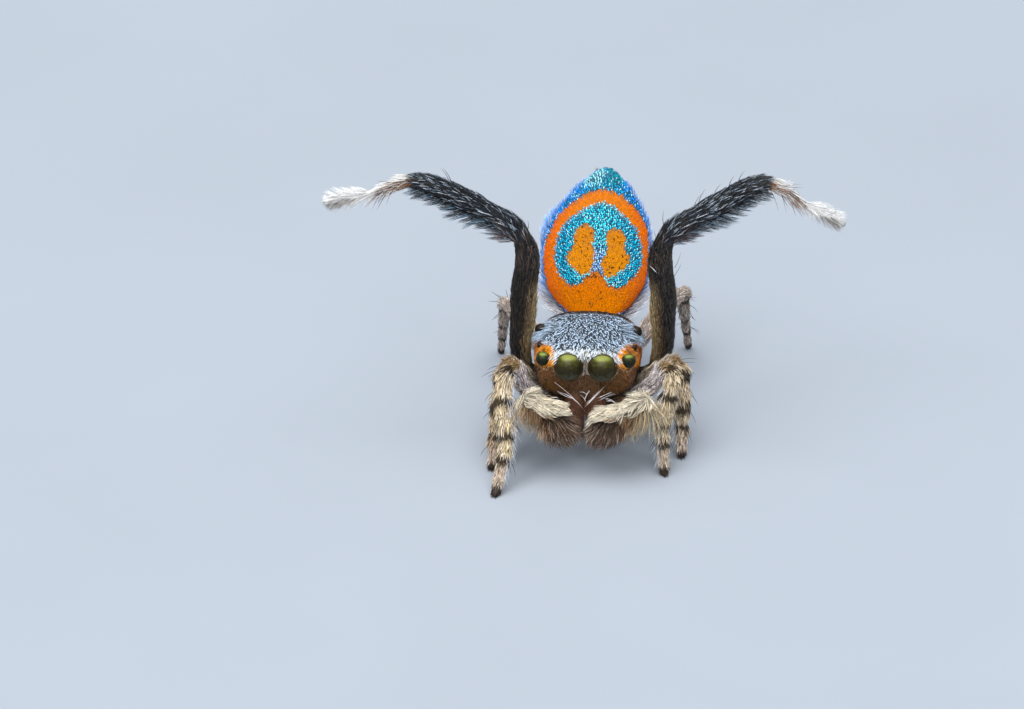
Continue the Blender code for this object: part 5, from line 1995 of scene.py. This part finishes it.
@dataclass(frozen=True)
class Legs:
    """The eight legs: flesh with narrowed joints, and a coat that follows each leg's markings."""

    # Radii out to the coat at the root, trochanter, femur, knee, shin, ankle, foot middle and foot
    radii = {
        Stance.WALKING: (0.13, 0.13, 0.128, 0.150, 0.165, 0.138, 0.112, 0.085),
        Stance.HIND: (0.13, 0.14, 0.150, 0.130, 0.120, 0.090, 0.080, 0.075),
        Stance.RAISED: (0.13, 0.14, 0.205, 0.190, 0.185, 0.145, 0.085, 0.070),
    }
    # The flesh as a share of those radii
    core = {Stance.WALKING: 0.80, Stance.HIND: 0.78, Stance.RAISED: 0.93}
    steps: int = 6
    # Places of the joints, and how much and over what length the flesh narrows there
    joints: tuple[float, ...] = (0.0, 1.0, 1.30, 2.0, 2.55)
    joint_narrowing: float = 0.20
    joint_length: float = 0.07
    # Lengths of hair, as a share of their coat's, at places on a leg, and how much of the mane is kept
    banded_lengths = ((-1.0, 0.0, 0.8, 0.95, 1.1, 2.0, 2.6, 3.0), (0.6, 1.3, 1.3, 0.7, 1.0, 1.0, 0.85, 0.4))
    fringe_lengths = ((1.0, 1.15, 1.8, 2.0), (0.8, 1.05, 1.0, 0.6))
    mane_lengths = ((2.0, 2.2, 2.5, 2.75), (1.0, 0.85, 0.75, 0.6))
    mane_thinning = ((2.0, 2.25, 2.7), (1.0, 0.8, 0.6))

    def line(self, leg: Leg) -> tuple[Array, Array]:
        """Lays a leg's middle line.

        Args:
            leg: the leg.

        Returns:
            Rows of x, y, z and radius of the flesh, and the place on the leg of each row.
        """
        marks = [turned(leg.root), *map(np.array, (leg.trochanter, leg.knee, leg.ankle, leg.foot))]
        spots = [marks[0], marks[1]]
        for near, far, bow in zip(marks[1:], marks[2:], leg.bows):
            spots += [(near + far) / 2 + np.array(bow), far]
        rows = [(*spot, radius) for spot, radius in zip(spots, self.radii[leg.stance])]
        line = smooth_line(rows, self.steps)
        places = np.interp(
            np.arange(len(line)), self.steps * np.arange(8), (-1.0, 0.0, 0.5, 1.0, 1.5, 2.0, 2.5, 3.0)
        )
        line[:, 3] *= np.where(places < 0, 0.85, self.core[leg.stance])
        if leg.stance is Stance.RAISED:
            line[:, 3] *= 1 + 0.05 * ease(1.0, 0.8, places)
            line[:, 3] *= 1 - 0.46 * ease(2.0, 2.15, places)
        for joint in self.joints:
            line[:, 3] *= 1 - self.joint_narrowing * np.exp(-(((places - joint) / self.joint_length) ** 2))
        return line, places

    def forms(self) -> list[Form]:
        """Draws the eight legs."""
        made = []
        for leg in LEGS:
            line, _ = self.line(leg)
            if leg.foot[2] == 0.0:
                line[-1, 2] += line[-1, 3] * 0.9
            made.append(Form(leg.name, Region.LEG, line, self.top(leg), tube_rings(line, self.top(leg))))
        return made

    def top(self, leg: Leg) -> Array:
        """Gives the side of a leg that counts as its top."""
        if leg.stance is Stance.RAISED:
            return unit(UP * 0.35 - LEFT * leg.side * 0.9)
        return unit(FRONT * (-1.0 if leg.stance is Stance.HIND else 1.0) + 0.4 * UP)

    def places(self, leg: Leg, roots: Roots) -> Array:
        """Finds the places of roots on their leg, from -1 at its root to 3 at its tip."""
        line, places = self.line(leg)
        past = np.concatenate(([0.0], np.cumsum(np.linalg.norm(np.diff(line[:, :3], axis=0), axis=1))))
        return np.interp(roots.share, past / past[-1], places)

    def tint(self, leg: Leg, roots: Roots, ahead: float = 0.0) -> Array:
        """Colours places on a leg.

        Args:
            leg: the leg.
            roots: places on its skin.
            ahead: how far beyond each place the colour is taken, in millimetres.

        Returns:
            The linear colours.
        """
        line, _ = self.line(leg)
        length = np.linalg.norm(np.diff(line[:, :3], axis=0), axis=1).sum()
        place = self.places(leg, replace(roots, share=np.minimum(roots.share + ahead / length, 1.0)))
        if leg.stance is Stance.RAISED:
            return self.raised_tint(leg, roots, place)
        tone, shade = {
            "leg_1": ("ecd6ae", "d2c8cc"), "leg_2": ("e6cca6", "b8a894"), "leg_4": ("d0bcae", "bcaaa0")
        }[leg.name[:5]]
        colours = mix(shade, tone, ease(0.85, 0.98, place))
        colours = mix("8d7b66", colours, ease(-0.3, 0.2, place))
        if leg.stance is Stance.WALKING:
            knee = ease(0.84, 0.95, place) * ease(1.20, 1.02, place)
            colours = mix(colours, "84622e", knee * 0.75)
            colours = mix(colours, "e8cfc0", ease(2.2, 2.6, place) * 0.6)
        dark = np.zeros(len(roots))
        for middle, half in leg.bands:
            uneven = 0.25 * half * np.sin(roots.angle * 3 + middle * 17)
            dark = np.maximum(dark, ease(half * 1.25, half * 0.85, np.abs(place - middle + uneven)))
        dark = np.maximum(dark, ease(2.84, 2.92, place))
        return mix(colours, "33261a", dark * 0.95)

    def raised_tint(self, leg: Leg, roots: Roots, place: Array) -> Array:
        """Colours places on a raised leg: black, tan inside the femur, white on the foot."""
        inner = ease(-0.10, 0.80, -leg.side * roots.normals[:, 0]) * ease(0.84, 0.30, place)
        inner = inner * ease(-0.75, -0.35, -roots.normals[:, 1])
        colours = mix(mix("15110e", "54432f", ease(0.05, 0.35, inner)), "a08a66", inner)
        outer = leg.side * roots.normals[:, 0] + roots.normals[:, 2] * 0.5
        knee = ease(0.98, 1.04, place) * ease(1.30, 1.12, place) * ease(-0.1, 0.3, outer)
        colours = mix(colours, "6a5048", knee * 0.8)
        colours = mix(colours, "bfa27c", ease(2.03, 2.08, place))
        colours = mix(colours, "f9f8f6", ease(2.06, 2.16, place))
        below = ease(0.45, -0.25, roots.normals[:, 2])
        return mix(colours, "857a6c", ease(2.55, 2.80, place) * below * 0.8)

    def dress(self, hide: Hide) -> list[Object]:
        """Grows the coats of the eight legs."""
        made = []
        for number, leg in enumerate(LEGS):
            seed = 100 + 20 * number
            if leg.stance is Stance.RAISED:
                made += self.flat_coat(leg, hide, seed)
                made.append(self.leg_fringe(leg, hide, seed))
                made += self.foot(leg, hide, seed)
            else:
                made += self.banded_coat(leg, hide, seed)
        return made

    def banded_coat(self, leg: Leg, hide: Hide, seed: int) -> list[Object]:
        """Grows the coat of a standing leg: short dark under-hair, and locks of pale hair over it."""
        under = Coat(
            SHORT_BLADE, spacing=0.024, length=0.11, width=0.014, rise=16.0, settle=6.0, way_play=12.0,
            shade_play=0.25,
        )
        long = 0.165 if leg.stance is Stance.WALKING else 0.12
        over = Coat(
            HAIR_BLADE, spacing=0.0255, length=long, width=0.0130, rise=23.0, settle=8.0,
            length_play=0.35, way_play=13.0, rise_play=7.0, shade_play=0.22, curl=0.2, lock=0.055,
            gather=0.45,
        )
        made = []
        for layer, coat, level in (("under", under, 0.72), ("coat", over, 1.05)):
            roots = hide.roots([leg.name], coat.spacing, seed)
            place = self.places(leg, roots)
            stretch = np.interp(place, *self.banded_lengths)
            tints = self.tint(leg, roots, coat.length * 0.45) * level
            chance = chances(seed + 1, roots)
            tints = mix(tints, "fff8ec", (chance < 0.25) * (tints.mean(axis=1) > 0.3) * 0.6)
            tints = mix(tints, "5a4028", (chance > 0.90) * 0.6)
            name = f"{leg.name}_{layer}"
            piece = CREAM_HAIR.grow(name, coat, roots, roots.along, tints, seed + 2, stretch)
            made.append(piece)
            seed += 5
        if leg.stance is Stance.WALKING:
            fine = Coat(
                LONG_BLADE, spacing=0.045, length=0.20, width=0.0085, rise=34.0, settle=18.0,
                length_play=0.35, way_play=16.0, rise_play=8.0, shade_play=0.12, curl=0.3,
            )
            roots = hide.roots([leg.name], fine.spacing, seed)
            place = self.places(leg, roots)
            roots = roots.kept((place > 1.05) & (place < 2.7) & (-leg.side * roots.normals[:, 0] > 0.45))
            name, pale = leg.name + "_wisps", linear("e4e6ee")
            made.append(WHITE_HAIR.grow(name, fine, roots, roots.along, pale, seed + 2))
        return made

    def flat_coat(self, leg: Leg, hide: Hide, seed: int) -> list[Object]:
        """Grows the flat black coat of a raised leg and the long tan hair inside its femur."""
        flat = Coat(
            HAIR_BLADE, spacing=0.0225, length=0.165, width=0.0115, rise=15.0, settle=4.0,
            length_play=0.3, way_play=9.0, rise_play=5.0, shade_play=0.30, curl=0.12, lock=0.05,
            gather=0.3,
        )
        roots = hide.roots([leg.name], flat.spacing, seed)
        place = self.places(leg, roots)
        roots, place = roots.kept(place < 2.04), place[place < 2.04]
        tints = self.tint(leg, roots, 0.05)
        chance = chances(seed + 1, roots)
        tints = mix(tints, "c4d2e0", (chance < 0.15) * (place > 1.0) * 0.75)
        tints = mix(tints, "8a7064", (chance < 0.16) * (place < 1.08) * (place > 0.75) * 0.6)
        # Dark blue on some shin hairs is a painted sheen
        tints = mix(tints, "2c3a4a", (chance > 0.70) * (place > 1.0) * 0.8)
        tints = mix(tints, "4c3c28", (chance > 0.70) * (place < 0.9) * 0.6)
        stretch = np.interp(place, (-1.0, 1.9, 2.04), (1.0, 1.0, 0.5))
        name = leg.name + "_coat"
        made = [BLACK_HAIR.grow(name, flat, roots, roots.along, tints, seed + 2, stretch)]
        inside = Coat(
            LONG_BLADE, spacing=0.030, length=0.30, width=0.0105, rise=13.0, settle=3.0,
            length_play=0.3, way_play=7.0, rise_play=5.0, shade_play=0.30, curl=0.15, lock=0.07,
            gather=0.4,
        )
        roots = hide.roots([leg.name], inside.spacing, seed + 3)
        place = self.places(leg, roots)
        inward = -leg.side * roots.normals[:, 0]
        chance = chances(seed + 5, roots)
        chosen = (place > -0.1) & (inward > 0.25) & (chance < ease(0.72, 0.25, place))
        roots, inward = roots.kept(chosen), inward[chosen]
        tints = mix("7c684c", "bca67e", ease(0.3, 0.9, inward))
        name = leg.name + "_inner_hair"
        return made + [CREAM_HAIR.grow(name, inside, roots, roots.along, tints, seed + 4)]

    def leg_fringe(self, leg: Leg, hide: Hide, seed: int) -> Object:
        """Grows the long dark locks that hang from a raised leg's shin."""
        coat = Coat(
            LONG_BLADE, spacing=0.0215, length=0.32, width=0.0100, rise=54.0, settle=34.0,
            length_play=0.3, way_play=12.0, rise_play=8.0, shade_play=0.2, curl=0.2, lock=0.065,
            gather=0.72,
        )
        roots = hide.roots([leg.name], coat.spacing, seed + 6)
        place = self.places(leg, roots)
        below = roots.normals @ unit(-UP * 0.95 + LEFT * leg.side * 0.1)
        chosen = (place > 1.04) & (place < 1.97) & (below > 0.50)
        roots, place = roots.kept(chosen), place[chosen]
        tints = self.tint(leg, roots)
        chance = chances(seed + 7, roots)
        # Pale blue on about a third of the locks is a painted glint
        tints = mix(tints, "86a6be", (chance < 0.36) * 0.75)
        stretch = np.interp(place, *self.fringe_lengths)
        name = leg.name + "_fringe"
        return BLACK_HAIR.grow(name, coat, roots, roots.along, tints, seed + 8, stretch)

    def foot(self, leg: Leg, hide: Hide, seed: int) -> list[Object]:
        """Grows the white hair of a raised leg's foot, its brush and its brown strands."""
        line, _ = self.line(leg)
        made = []
        mane = Coat(
            LONG_BLADE, spacing=0.0185, length=0.36, width=0.0105, rise=16.0, settle=8.0,
            length_play=0.3, way_play=10.0, rise_play=6.0, shade_play=0.08, curl=0.2, lock=0.08,
            gather=0.45,
        )
        brush = Coat(
            LONG_BLADE, spacing=0.0145, length=0.30, width=0.0105, rise=27.0, settle=22.0,
            length_play=0.15, way_play=10.0, rise_play=7.0, shade_play=0.08, curl=0.15, lock=0.05,
            gather=0.3,
        )
        roots = hide.roots([leg.name], mane.spacing, seed + 10)
        place = self.places(leg, roots)
        chance = chances(seed + 11, roots)
        chosen = (place > 2.02) & (place < 2.75) & (chance < np.interp(place, *self.mane_thinning))
        roots, place = roots.kept(chosen), place[chosen]
        below = ease(0.1, 0.8, -roots.normals[:, 2])
        stretch = np.interp(place, *self.mane_lengths) * (0.7 + 0.3 * below)
        tints = self.tint(leg, roots, 0.15)
        name, ways, lift = leg.name + "_mane", roots.along - 0.2 * UP, 22.0 * below
        made.append(WHITE_HAIR.grow(name, mane, roots, ways, tints, seed + 12, stretch, lift))
        roots = hide.roots([leg.name], brush.spacing, seed + 13)
        place = self.places(leg, roots)
        roots, place = roots.kept(place > 2.48), place[place > 2.48]
        ahead = unit(line[-1, :3] - line[-3, :3])
        left = (line[-1, :3] + ahead * 0.05 - roots.points) @ ahead
        stretch = np.clip(left / brush.length, 0.15, 1.0)
        tints = self.tint(leg, roots, 0.05)
        flare = 14.0 * ease(0.3, 0.9, np.abs(roots.normals[:, 2]))
        name, ways = leg.name + "_brush", roots.along
        made.append(WHITE_HAIR.grow(name, brush, roots, ways, tints, seed + 14, stretch, flare))
        strands = Coat(
            LONG_BLADE, spacing=0.034, length=0.40, width=0.0120, rise=24.0, settle=12.0,
            length_play=0.3, way_play=12.0, rise_play=6.0, shade_play=0.25, curl=0.2,
        )
        roots = hide.roots([leg.name], strands.spacing, seed + 16)
        place = self.places(leg, roots)
        facing = (roots.normals[:, 1] < 0.4) & (roots.normals[:, 2] < 0.6)
        roots = roots.kept((place > 1.97) & (place < 2.35) & facing)
        tints = mix("966a48", "4e3828", (roots.angle * 7 % 1) > 0.6)
        name, ways = leg.name + "_strands", roots.along - 0.3 * UP
        made.append(BROWN_HAIR.grow(name, strands, roots, ways, tints, seed + 17))
        return made


@dataclass(frozen=True)
class Claws:
    """The pair of small curved claws at the tip of each leg."""

    length: float = 0.075
    width: float = 0.020
    spread: float = 0.024

    def build(self, legs: Legs) -> Object:
        """Makes all sixteen claws as one piece."""
        curves = []
        for leg in LEGS:
            line, _ = legs.line(leg)
            along = unit(line[-1, :3] - line[-4, :3])
            if leg.foot[2] == 0.0:
                ahead = unit(np.array((leg.side * 0.35, -1.0 if leg.stance is Stance.WALKING else 1.0, 0.0)))
                start = np.array(leg.foot) + UP * 0.055 + ahead * 0.035
                tip = start + ahead * self.length - UP * 0.05
            else:
                ahead = along
                start = line[-1, :3] - ahead * 0.03
                tip = start + ahead * self.length - UP * 0.03
            beside = unit(np.cross(ahead, UP))
            for way in (-1, 1):
                shift = beside * self.spread * way
                bend = (start + tip) / 2 + UP * 0.03
                curves.append((start + shift, bend + shift * 1.2, tip + shift * 1.3))
        piece = bristles("claws", curves, self.width, linear("2a1a10"), 0.1)
        return dressed(piece, HornFinish("claw_horn").material())


@dataclass(frozen=True)
class LongHairs:
    """The single long hairs that catch the eye: on the face, the palps and the legs."""

    # White hairs before the jaws and on the palps: root, bend and tip in the straight body's frame
    face: tuple[tuple[Spot, ...], ...] = (
        ((-0.50, -0.02, 1.55), (-0.20, -0.17, 1.41), (0.03, -0.20, 1.10)),
        ((-0.43, -0.04, 1.39), (-0.21, -0.16, 1.41), (-0.03, -0.21, 1.17)),
        ((-0.46, -0.03, 1.40), (-0.33, -0.12, 1.34), (-0.17, -0.16, 1.33)),
        ((0.31, -0.02, 1.50), (0.17, -0.15, 1.36), (-0.02, -0.20, 1.19)),
        ((0.23, -0.03, 1.43), (0.12, -0.14, 1.32), (-0.01, -0.18, 1.23)),
        ((0.49, -0.04, 1.38), (0.36, -0.13, 1.39), (0.21, -0.17, 1.30)),
        ((0.43, -0.04, 1.40), (0.31, -0.12, 1.40), (0.20, -0.15, 1.34)),
        ((-0.08, -0.06, 1.41), (0.00, -0.14, 1.48), (0.05, -0.17, 1.41)),
        ((-0.07, -0.06, 1.35), (-0.02, -0.13, 1.35), (0.02, -0.16, 1.27)),
        ((0.08, -0.06, 1.43), (0.02, -0.13, 1.41), (-0.02, -0.17, 1.30)),
        ((-0.58, -0.30, 1.35), (-0.48, -0.36, 1.47), (-0.36, -0.40, 1.41)),
        ((-0.61, -0.30, 1.39), (-0.53, -0.35, 1.49), (-0.41, -0.38, 1.46)),
        ((0.56, -0.30, 1.28), (0.46, -0.36, 1.47), (0.35, -0.40, 1.45)),
        ((0.53, -0.30, 1.32), (0.43, -0.36, 1.49), (0.33, -0.40, 1.49)),
    )
    # Spines of the raised femora, which stand out before the abdomen, and those of them that are pale
    femur: tuple[tuple[Spot, ...], ...] = (
        ((-0.80, 1.08, 3.35), (-0.71, 1.00, 3.44), (-0.67, 0.95, 3.61)),
        ((-0.80, 1.10, 2.98), (-0.68, 1.00, 3.09), (-0.59, 0.95, 3.24)),
        ((1.10, 1.10, 2.88), (0.99, 1.00, 3.02), (0.88, 0.95, 3.19)),
        ((1.47, 1.20, 3.04), (1.53, 1.15, 3.18), (1.57, 1.10, 3.40)),
        ((1.45, 1.20, 2.87), (1.53, 1.15, 3.01), (1.58, 1.10, 3.19)),
        ((1.06, 1.05, 3.16), (1.12, 0.95, 3.15), (1.18, 0.92, 3.09)),
    )
    pale_femur: tuple[int, ...] = (5,)
    leg_rows: tuple[float, ...] = (1.05, 1.40, 1.75, 2.25)
    streaks: tuple[float, ...] = (1.12, 1.28, 1.45, 1.63, 1.80)

    def build_face(self) -> Object:
        """Lays the white hairs that cross before the jaws."""
        draw = np.random.default_rng(71)
        curves = []
        for marks in self.face:
            for _ in range(2):
                shift = draw.normal(0.0, 0.010, (3, 3)) * (1.0, 0.5, 1.0)
                curves.append(turned(np.array(marks) + shift))
        count = len(curves)
        tints = linear("f0e9ea") * draw.uniform(0.75, 1.1, (count, 1))
        piece = bristles("face_hairs", curves, draw.uniform(0.009, 0.017, count), tints, 0.05)
        return dressed(piece, SILVER_HAIR.material())

    def build_legs(self, legs: Legs, hide: Hide) -> list[Object]:
        """Sets the dark spines of the legs and the white streaks on the raised shins."""
        draw = np.random.default_rng(72)
        dark = [np.array(marks) for number, marks in enumerate(self.femur) if number not in self.pale_femur]
        pale = [np.array(self.femur[number]) for number in self.pale_femur]
        for leg in LEGS:
            roots = hide.roots([leg.name], 0.05, 73)
            place = legs.places(leg, roots)
            for row in self.leg_rows:
                if leg.stance is Stance.RAISED and row > 2.0:
                    continue
                near = np.flatnonzero((np.abs(place - row) < 0.10) & (np.abs(roots.normals[:, 0]) > 0.3))
                for index in draw.choice(near, min(len(near), 4), replace=False):
                    root, out, along = roots.points[index], roots.normals[index], roots.along[index]
                    length = draw.uniform(0.22, 0.36)
                    bend = root + out * length * 0.35 + along * length * 0.30
                    tip = root + out * length * 0.5 + along * length * 0.8
                    dark.append(np.array((root - out * 0.02, bend, tip)))
            if leg.stance is Stance.RAISED:
                pale += self.white_streaks(leg, legs, draw)
        made = []
        for name, curves, shade, finish, slot, width in (
            ("leg_spines", dark, "1c1612", BLACK_HAIR, "black_hair", 0.013),
            ("leg_streaks", pale, "e4e8ee", SILVER_HAIR, "white_hair", 0.020),
        ):
            piece = bristles(name, curves, width, linear(shade), 0.02)
            made.append(dressed(piece, finish.material()))
        return made

    def white_streaks(self, leg: Leg, legs: Legs, draw: np.random.Generator) -> list[Array]:
        """Lays flat white spines along the front of a raised shin."""
        line, places = legs.line(leg)
        curves = []
        for start in self.streaks:
            marks = []
            for step, out in ((0.0, 0.9), (0.5, 1.16), (1.0, 1.10)):
                place = start + step * 0.17
                spot = np.array([np.interp(place, places, line[:, axis]) for axis in range(4)])
                height = 0.35 - 0.45 * step + draw.normal(0.0, 0.12)
                marks.append(spot[:3] + unit(FRONT + height * UP) * spot[3] * out)
            curves.append(np.array(marks))
        return curves


@dataclass(frozen=True)
class Studio:
    """Table, lamps and camera of the picture."""

    distance: float = 0.150
    elevation: float = math.radians(30.0)
    # The point that the camera aims at, in the animal's millimetres
    aim: Spot = (-1.2045, 1.0, 1.509)
    frame_width_mm: float = 16.896
    sensor_mm: float = 36.0
    sharp_range: tuple[float, float] = (0.001, 10.0)
    table_half: float = 1.5
    # Place, width, power and colour of each lamp, in metres and watts
    hung: tuple[tuple[str, Spot, float, float, str], ...] = (
        ("top_lamp", (-0.02, -0.05, 0.20), 0.20, 0.62, "ffffff"),
        ("front_lamp", (-0.08, -0.28, 0.24), 0.50, 0.55, "fffaf2"),
    )
    room_shade: str = "dfe8f4"
    room_light: float = 0.62

    def build(self) -> None:
        """Sets up the whole studio."""
        self.camera()
        self.table()
        self.lamps()

    def camera(self) -> None:
        """Places the camera where the photograph was taken from."""
        data = bpy.data.cameras.new("camera")
        data.sensor_width = self.sensor_mm
        data.lens = self.sensor_mm * self.distance / (self.frame_width_mm * METRES)
        data.clip_start, data.clip_end = self.sharp_range
        thing = placed("camera", data)
        back = np.array((0.0, -math.cos(self.elevation), math.sin(self.elevation)))
        thing.location = to_model(np.array(self.aim)) + back * self.distance
        thing.rotation_euler = (math.pi / 2 - self.elevation, 0.0, 0.0)
        bpy.context.scene.camera = thing

    def table(self) -> None:
        """Lays the pale table, whose top is the ground."""
        shell = bmesh.new()
        bmesh.ops.create_grid(shell, x_segments=8, y_segments=8, size=self.table_half)
        mesh = mesh_of("table", shell)
        mesh.materials.append(FloorFinish().material())
        thing = placed("table", mesh)
        thing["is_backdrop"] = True

    def lamp(self, name: str, spot: Spot, size: float, power: float, shade: str) -> None:
        """Hangs a soft square lamp that faces the spider.

        Args:
            name: the lamp's name.
            spot: its place, in metres.
            size: its width, in metres.
            power: its power, in watts.
            shade: its colour as hex digits.
        """
        data = bpy.data.lights.new(name, "AREA")
        data.size = size
        data.energy = power
        data.color = linear(shade)
        thing = placed(name, data)
        thing.location = spot
        thing.rotation_mode = "QUATERNION"
        thing.rotation_quaternion = Vector(spot).to_track_quat("Z", "Y")

    def lamps(self) -> None:
        """Hangs the lamps and gives the room its even light."""
        for lamp in self.hung:
            self.lamp(*lamp)
        world = bpy.data.worlds.new("room")
        world.use_nodes = True
        sky = world.node_tree.nodes["Background"]
        sky.inputs["Color"].default_value = (*linear(self.room_shade), 1.0)
        sky.inputs["Strength"].default_value = self.room_light
        bpy.context.scene.world = world
        bpy.context.scene.view_settings.view_transform = "Standard"


@dataclass(frozen=True)
class Spider:
    """The whole animal, built from its parts in order."""

    abdomen: Abdomen = Abdomen()
    carapace: Carapace = Carapace()
    jaws: Jaws = Jaws()
    palps: Palps = Palps()
    trunk: Trunk = Trunk()
    legs: Legs = Legs()
    # How much darker the bare skin is than the coat on it
    skin_depth = {
        Region.CARAPACE: 0.20,
        Region.STERNUM: 0.4,
        Region.PEDICEL: 0.4,
        Region.ABDOMEN: 0.5,
        Region.SPINNERETS: 0.5,
        Region.JAW: 0.9,
        Region.PALP: 0.45,
        Region.PALP_TIP: 0.35,
        Region.LEG: 0.22,
    }

    def forms(self) -> list[Form]:
        """Draws every form of the flesh."""
        return [
            self.carapace.form(),
            self.abdomen.form(),
            *self.jaws.forms(),
            *self.palps.forms(),
            *self.trunk.forms(self.abdomen),
            *self.legs.forms(),
        ]

    def skin_tint(self, forms: Sequence[Form], roots: Roots) -> Array:
        """Colours the bare skin with the markings of the coat above it.

        Args:
            forms: the forms of the flesh.
            roots: places on the skin.

        Returns:
            The linear colours.
        """
        colours = np.zeros((len(roots), 3))
        legs = {leg.name: leg for leg in LEGS}
        for index, form in enumerate(forms):
            chosen = roots.form == index
            part = roots.kept(chosen)
            if form.region is Region.LEG:
                leg = legs[form.name]
                tint = self.legs.tint(leg, part)
                if leg.stance is Stance.RAISED:
                    white = ease(2.02, 2.15, self.legs.places(leg, part))
                    tint = tint * (1 + 2.4 * white)[:, None]
            elif form.region is Region.ABDOMEN:
                tint, glint = self.abdomen.tint(part)
                tint = np.where(glint[:, None], linear("0b5a74"), tint) * 1.6
            else:
                tint = {
                    Region.CARAPACE: self.carapace.tint,
                    Region.JAW: self.jaws.tint,
                    Region.PALP: self.palps.tint,
                    Region.PALP_TIP: self.palps.tip_tint,
                }.get(form.region, self.trunk.tint)(part)
            if form.region is Region.CARAPACE:
                silver, band, face = self.carapace.zones(part)
                bare = np.clip(band * (1 - silver) + face * (1 - silver), 0, 1)
                tint = tint * (0.15 + 0.85 * bare * 5)[:, None]
            colours[chosen] = tint * self.skin_depth[form.region]
        return colours

    def build(self) -> None:
        """Builds the skin, the coats, the eyes and the claws."""
        skin = Skin(forms=self.forms())
        thing = skin.build()
        hide = skin.hide
        for part in (self.carapace, self.abdomen, self.jaws, self.palps, self.trunk, self.legs):
            pieces = part.dress(hide)
            log.info("%s: %d pieces of coat", type(part).__name__, len(pieces))
        skin.finish(thing, lambda roots: self.skin_tint(skin.forms, roots))
        Eyes().build()
        Claws().build(self.legs)
        hairs = LongHairs()
        hairs.build_face()
        hairs.build_legs(self.legs, hide)


def main() -> None:
    """Builds the spider and the studio, and reports each piece."""
    logging.basicConfig(level=logging.INFO, format="%(message)s")
    Spider().build()
    Studio().build()
    total = sum(len(piece.data.polygons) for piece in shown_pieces())
    log.info("whole model: %d faces", total)


if __name__ == "__main__":
    main()
